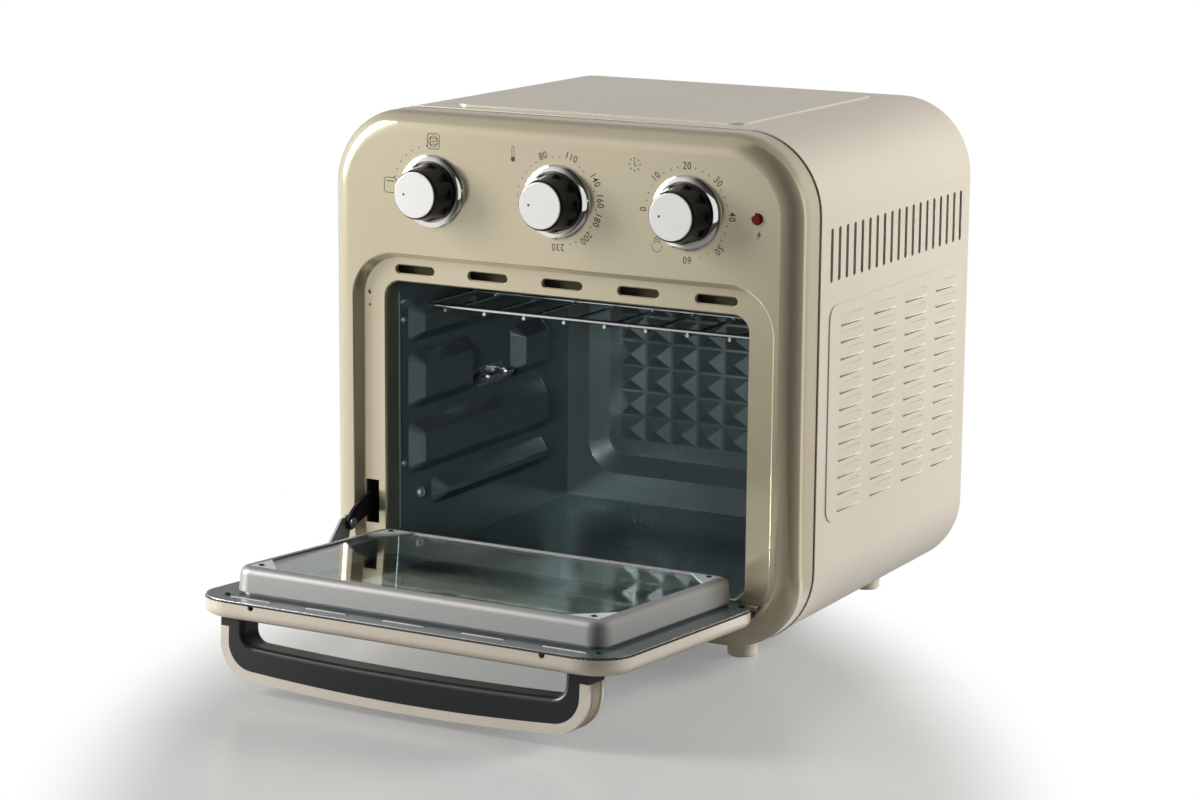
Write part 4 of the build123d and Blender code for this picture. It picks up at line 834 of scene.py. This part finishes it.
# Taupe strip: lacquered plastic, satin, a shade browner and darker than the shell.
taupe_strip = mottled("taupe_lacquer", 900.0, "9C907D", "AA9E8B", {"Metallic": 0.3, "Roughness": 0.34})
dress(["handle_inlay"], taupe_strip)


# --------------------------------------------------
# Hinge arm and spring. A sickle of blackened steel plate, pinned to a bracket on the door, that
# slides through its slot in the front; a spring pulls its tail back beside the cavity.
# --------------------------------------------------

dress(["hinge_arm"], black_oxide)

# the spring as drawn out while the door is open, on a mesh of its own; on the oven it closes up by a third as the
# arm slides back
spring_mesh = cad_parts["hinge_spring"].data.copy()
spring_mesh.materials.clear()
spring_mesh.materials.append(zinc_plate)
drawn_spring = placed("drawn_spring", spring_mesh)
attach(drawn_spring, "oven")
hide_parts("hinge_spring")
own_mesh(drawn_spring)


# --------------------------------------------------
# Studio. A pale sweep under a tall softbox on the left and a wide one on the right, in a room that
# is white to the sides and dim behind the camera; one lamp is for the cavity, one for the rings.
# --------------------------------------------------

scene.view_settings.view_transform = "Standard"

azimuth, elevation, roll = (math.radians(a) for a in (28.197427, 11.310248, 0.567048))
back = Vector((math.sin(azimuth) * math.cos(elevation), -math.cos(azimuth) * math.cos(elevation),
               math.sin(elevation)))
side = Vector((0, 0, 1)).cross(back).normalized()
up = back.cross(side)
right = math.cos(roll) * side + math.sin(roll) * up
above = -math.sin(roll) * side + math.cos(roll) * up
camera = bpy.data.cameras.new("camera")
camera.sensor_width = 36.0
camera.lens = 96.0
# the optical axis meets the picture, 1200 wide and 800 high, at (625.8423, 388.1970)
camera.shift_x = (600 - 625.8423) / 1200
camera.shift_y = (388.1970 - 400) / 1200
camera.clip_end = 100.0
viewer = placed("camera", camera)
spot = Vector((0.9245857, -1.6353698 + front_y, 0.5362820))
viewer.matrix_world = Matrix(((right.x, above.x, back.x, spot.x), (right.y, above.y, back.y, spot.y),
                              (right.z, above.z, back.z, spot.z), (0, 0, 0, 1)))
scene.camera = viewer


def room_glow(owner, vector):
    """Brightness of the room for reflections, by compass direction seen from the oven."""
    split = add(owner, "SeparateXYZ", links={"Vector": vector})
    flip = add(owner, "Math", {1: -1.0}, {0: split.outputs["Y"]}, operation="MULTIPLY")
    compass = add(owner, "Math", links={0: split.outputs["X"], 1: flip}, operation="ARCTAN2")
    share = add(owner, "MapRange", {"From Min": -math.pi, "From Max": math.pi}, {"Value": compass})
    ramp = add(owner, "ValToRGB", links={"Fac": share})
    stops = [(-180, 0.42), (-130, 0.42), (-105, 0.9), (-38, 0.9), (-28, 0.74), (-23, 0.5), (-17, 0.18), (-6, 0.05),
             (60, 0.03), (98, 0.04), (103, 1.0), (110, 1.0), (117, 0.42), (150, 0.45), (180, 0.42)]
    for i, (degrees, level) in enumerate(stops):
        position = (degrees + 180) / 360
        stop = ramp.color_ramp.elements[i] if i < 2 else ramp.color_ramp.elements.new(position)
        stop.position = position
        stop.color = (level, level * 0.99, level * 0.97, 1.0)
    return ramp


world = bpy.data.worlds.new("studio")
scene.world = world
world.use_nodes = True
world.node_tree.nodes.clear()
path = add(world, "LightPath")
sky = add(world, "TexCoord")
height = add(world, "SeparateXYZ", links={"Vector": sky.outputs["Generated"]})
ceiling = add(world, "MapRange", {"From Min": 0.25, "From Max": 0.7, "To Min": 1.0, "To Max": 0.4},
              {"Value": height.outputs["Z"]}, interpolation_type="SMOOTHSTEP")
glow = add(world, "Background", links={"Color": room_glow(world, sky.outputs["Generated"]), "Strength": ceiling})
fill = add(world, "Background", {"Color": linear("F4F3F0"), "Strength": 0.22})
white = add(world, "Background", {"Color": (1.0, 1.0, 1.0, 1.0), "Strength": 1.0})
first = add(world, "MixShader", links={0: path.outputs["Is Glossy Ray"], 1: fill, 2: glow})
seen = add(world, "Math", links={0: path.outputs["Is Camera Ray"], 1: path.outputs["Is Transmission Ray"]},
           operation="MAXIMUM")
last = add(world, "MixShader", links={0: seen, 1: first, 2: white})
add(world, "OutputWorld", links={"Surface": last})

# Sweep: semi-gloss white laminate near the oven, fading to plain white further out.
sweep_finish, place = finish("white_laminate_sweep")
path = add(sweep_finish, "LightPath")
turned_place = add(sweep_finish, "VectorRotate", {"Angle": -azimuth, "Axis": (0, 0, 1)},
                   {"Vector": place}, rotation_type="AXIS_ANGLE")
# an oval of plain laminate, 0.5 m wide and 1 m long, that reaches further towards the front
oval = add(sweep_finish, "Mapping", {"Location": (0.06, 0.6, 0.0), "Scale": (1 / 0.26, 1 / 0.50, 0.0)},
           {"Vector": turned_place}, vector_type="POINT")
reach = add(sweep_finish, "VectorMath", links={0: oval}, operation="LENGTH")
fade = add(sweep_finish, "MapRange", {"From Min": 0.74, "From Max": 1.08, "To Min": 0.22},
           {"Value": reach.outputs["Value"]}, interpolation_type="SMOOTHSTEP")
laminate = add(sweep_finish, "BsdfPrincipled", {"Base Color": linear("B4B3B1"), "Roughness": 0.26})
clear = add(sweep_finish, "Emission", {"Color": (1.0, 1.0, 1.0, 1.0), "Strength": 1.0})
room = add(sweep_finish, "Emission", {"Strength": 1.0}, {"Color": room_glow(sweep_finish, place)})
far = add(sweep_finish, "MixShader", links={0: path.outputs["Is Glossy Ray"], 1: clear, 2: room})
direct = add(sweep_finish, "Math", links={0: path.outputs["Is Camera Ray"], 1: path.outputs["Is Glossy Ray"]},
             operation="MAXIMUM")
shown = add(sweep_finish, "Math", links={0: direct, 1: fade}, operation="MULTIPLY")
through = add(sweep_finish, "Math", {1: 0.85}, {0: path.outputs["Is Transmission Ray"]}, operation="MULTIPLY")
mirrored = add(sweep_finish, "Math", {1: 0.5}, {0: path.outputs["Is Glossy Ray"]}, operation="MULTIPLY")
lifted = add(sweep_finish, "Math", links={0: shown, 1: mirrored}, operation="MAXIMUM")
amount = add(sweep_finish, "Math", links={0: lifted, 1: through}, operation="MAXIMUM")
surface = add(sweep_finish, "MixShader", links={0: amount, 1: laminate, 2: far})
# nothing of it is seen from below, so that the underside of the oven can be looked at
side_seen = add(sweep_finish, "NewGeometry")
open_below = add(sweep_finish, "BsdfTransparent")
one_sided = add(sweep_finish, "MixShader", links={0: side_seen.outputs["Backfacing"], 1: surface, 2: open_below})
dress([], sweep_finish, one_sided)
sweep_mesh = bpy.data.meshes.new("sweep")
sweep_mesh.from_pydata([(-6, -6, 0), (6, -6, 0), (6, 6, 0), (-6, 6, 0)], [], [(0, 1, 2, 3)])
sweep_mesh.materials.append(sweep_finish)
sweep = placed("sweep", sweep_mesh)


def softbox(name, spot, aim, width, height, power):
    """A rectangular soft light at a spot in metres, aimed at a point."""
    lamp = bpy.data.lights.new(name, "AREA")
    lamp.shape = "RECTANGLE"
    lamp.size = width
    lamp.size_y = height
    lamp.energy = power
    holder = placed(name, lamp)
    holder.location = spot
    holder.rotation_euler = (Vector(spot) - Vector(aim)).to_track_quat("Z", "Y").to_euler()
    return holder


softbox("softbox_left", (-1.7, -1.0, 0.85), (0, 0, 0.2), 0.75, 1.4, 60.0)
side_light = softbox("softbox_right", (1.5, 1.1, 0.85), (0.1, 0.1, 0.15), 0.9, 0.7, 48.0)
side_light.visible_glossy = False


def lights_only(lamp, pieces):
    """Let a lamp light these pieces and nothing else."""
    lit = bpy.data.collections.new("lit_by_" + lamp.name)
    for piece in pieces:
        lit.objects.link(piece)
    lamp.light_linking.receiver_collection = lit


# this one lights only the depth of the cavity, as the room did in front of it
cavity_light = softbox("softbox_front", (0.6, -2.3, 0.7), (0, 0.1, 0.12), 0.5, 0.5, 50.0)
inside = ("cavity_left_wall", "cavity_right_wall", "cavity_rear_wall", "cavity_ceiling", "cavity_mouth",
          "bulb_clip", "thermostat_bulb", "wire_rack")
lights_only(cavity_light, [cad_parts[name] for name in inside] + [bpy.data.objects["wall_cross_screws"]])
# a low white card in front, seen only by the chromed rings, which would otherwise mirror a dark room
card = softbox("card_for_rings", (0.35, -1.05, 0.25), (0.0, 0.0, 0.27), 0.8, 0.5, 1.0)
card.visible_camera = False
lights_only(card, [dial_rings])
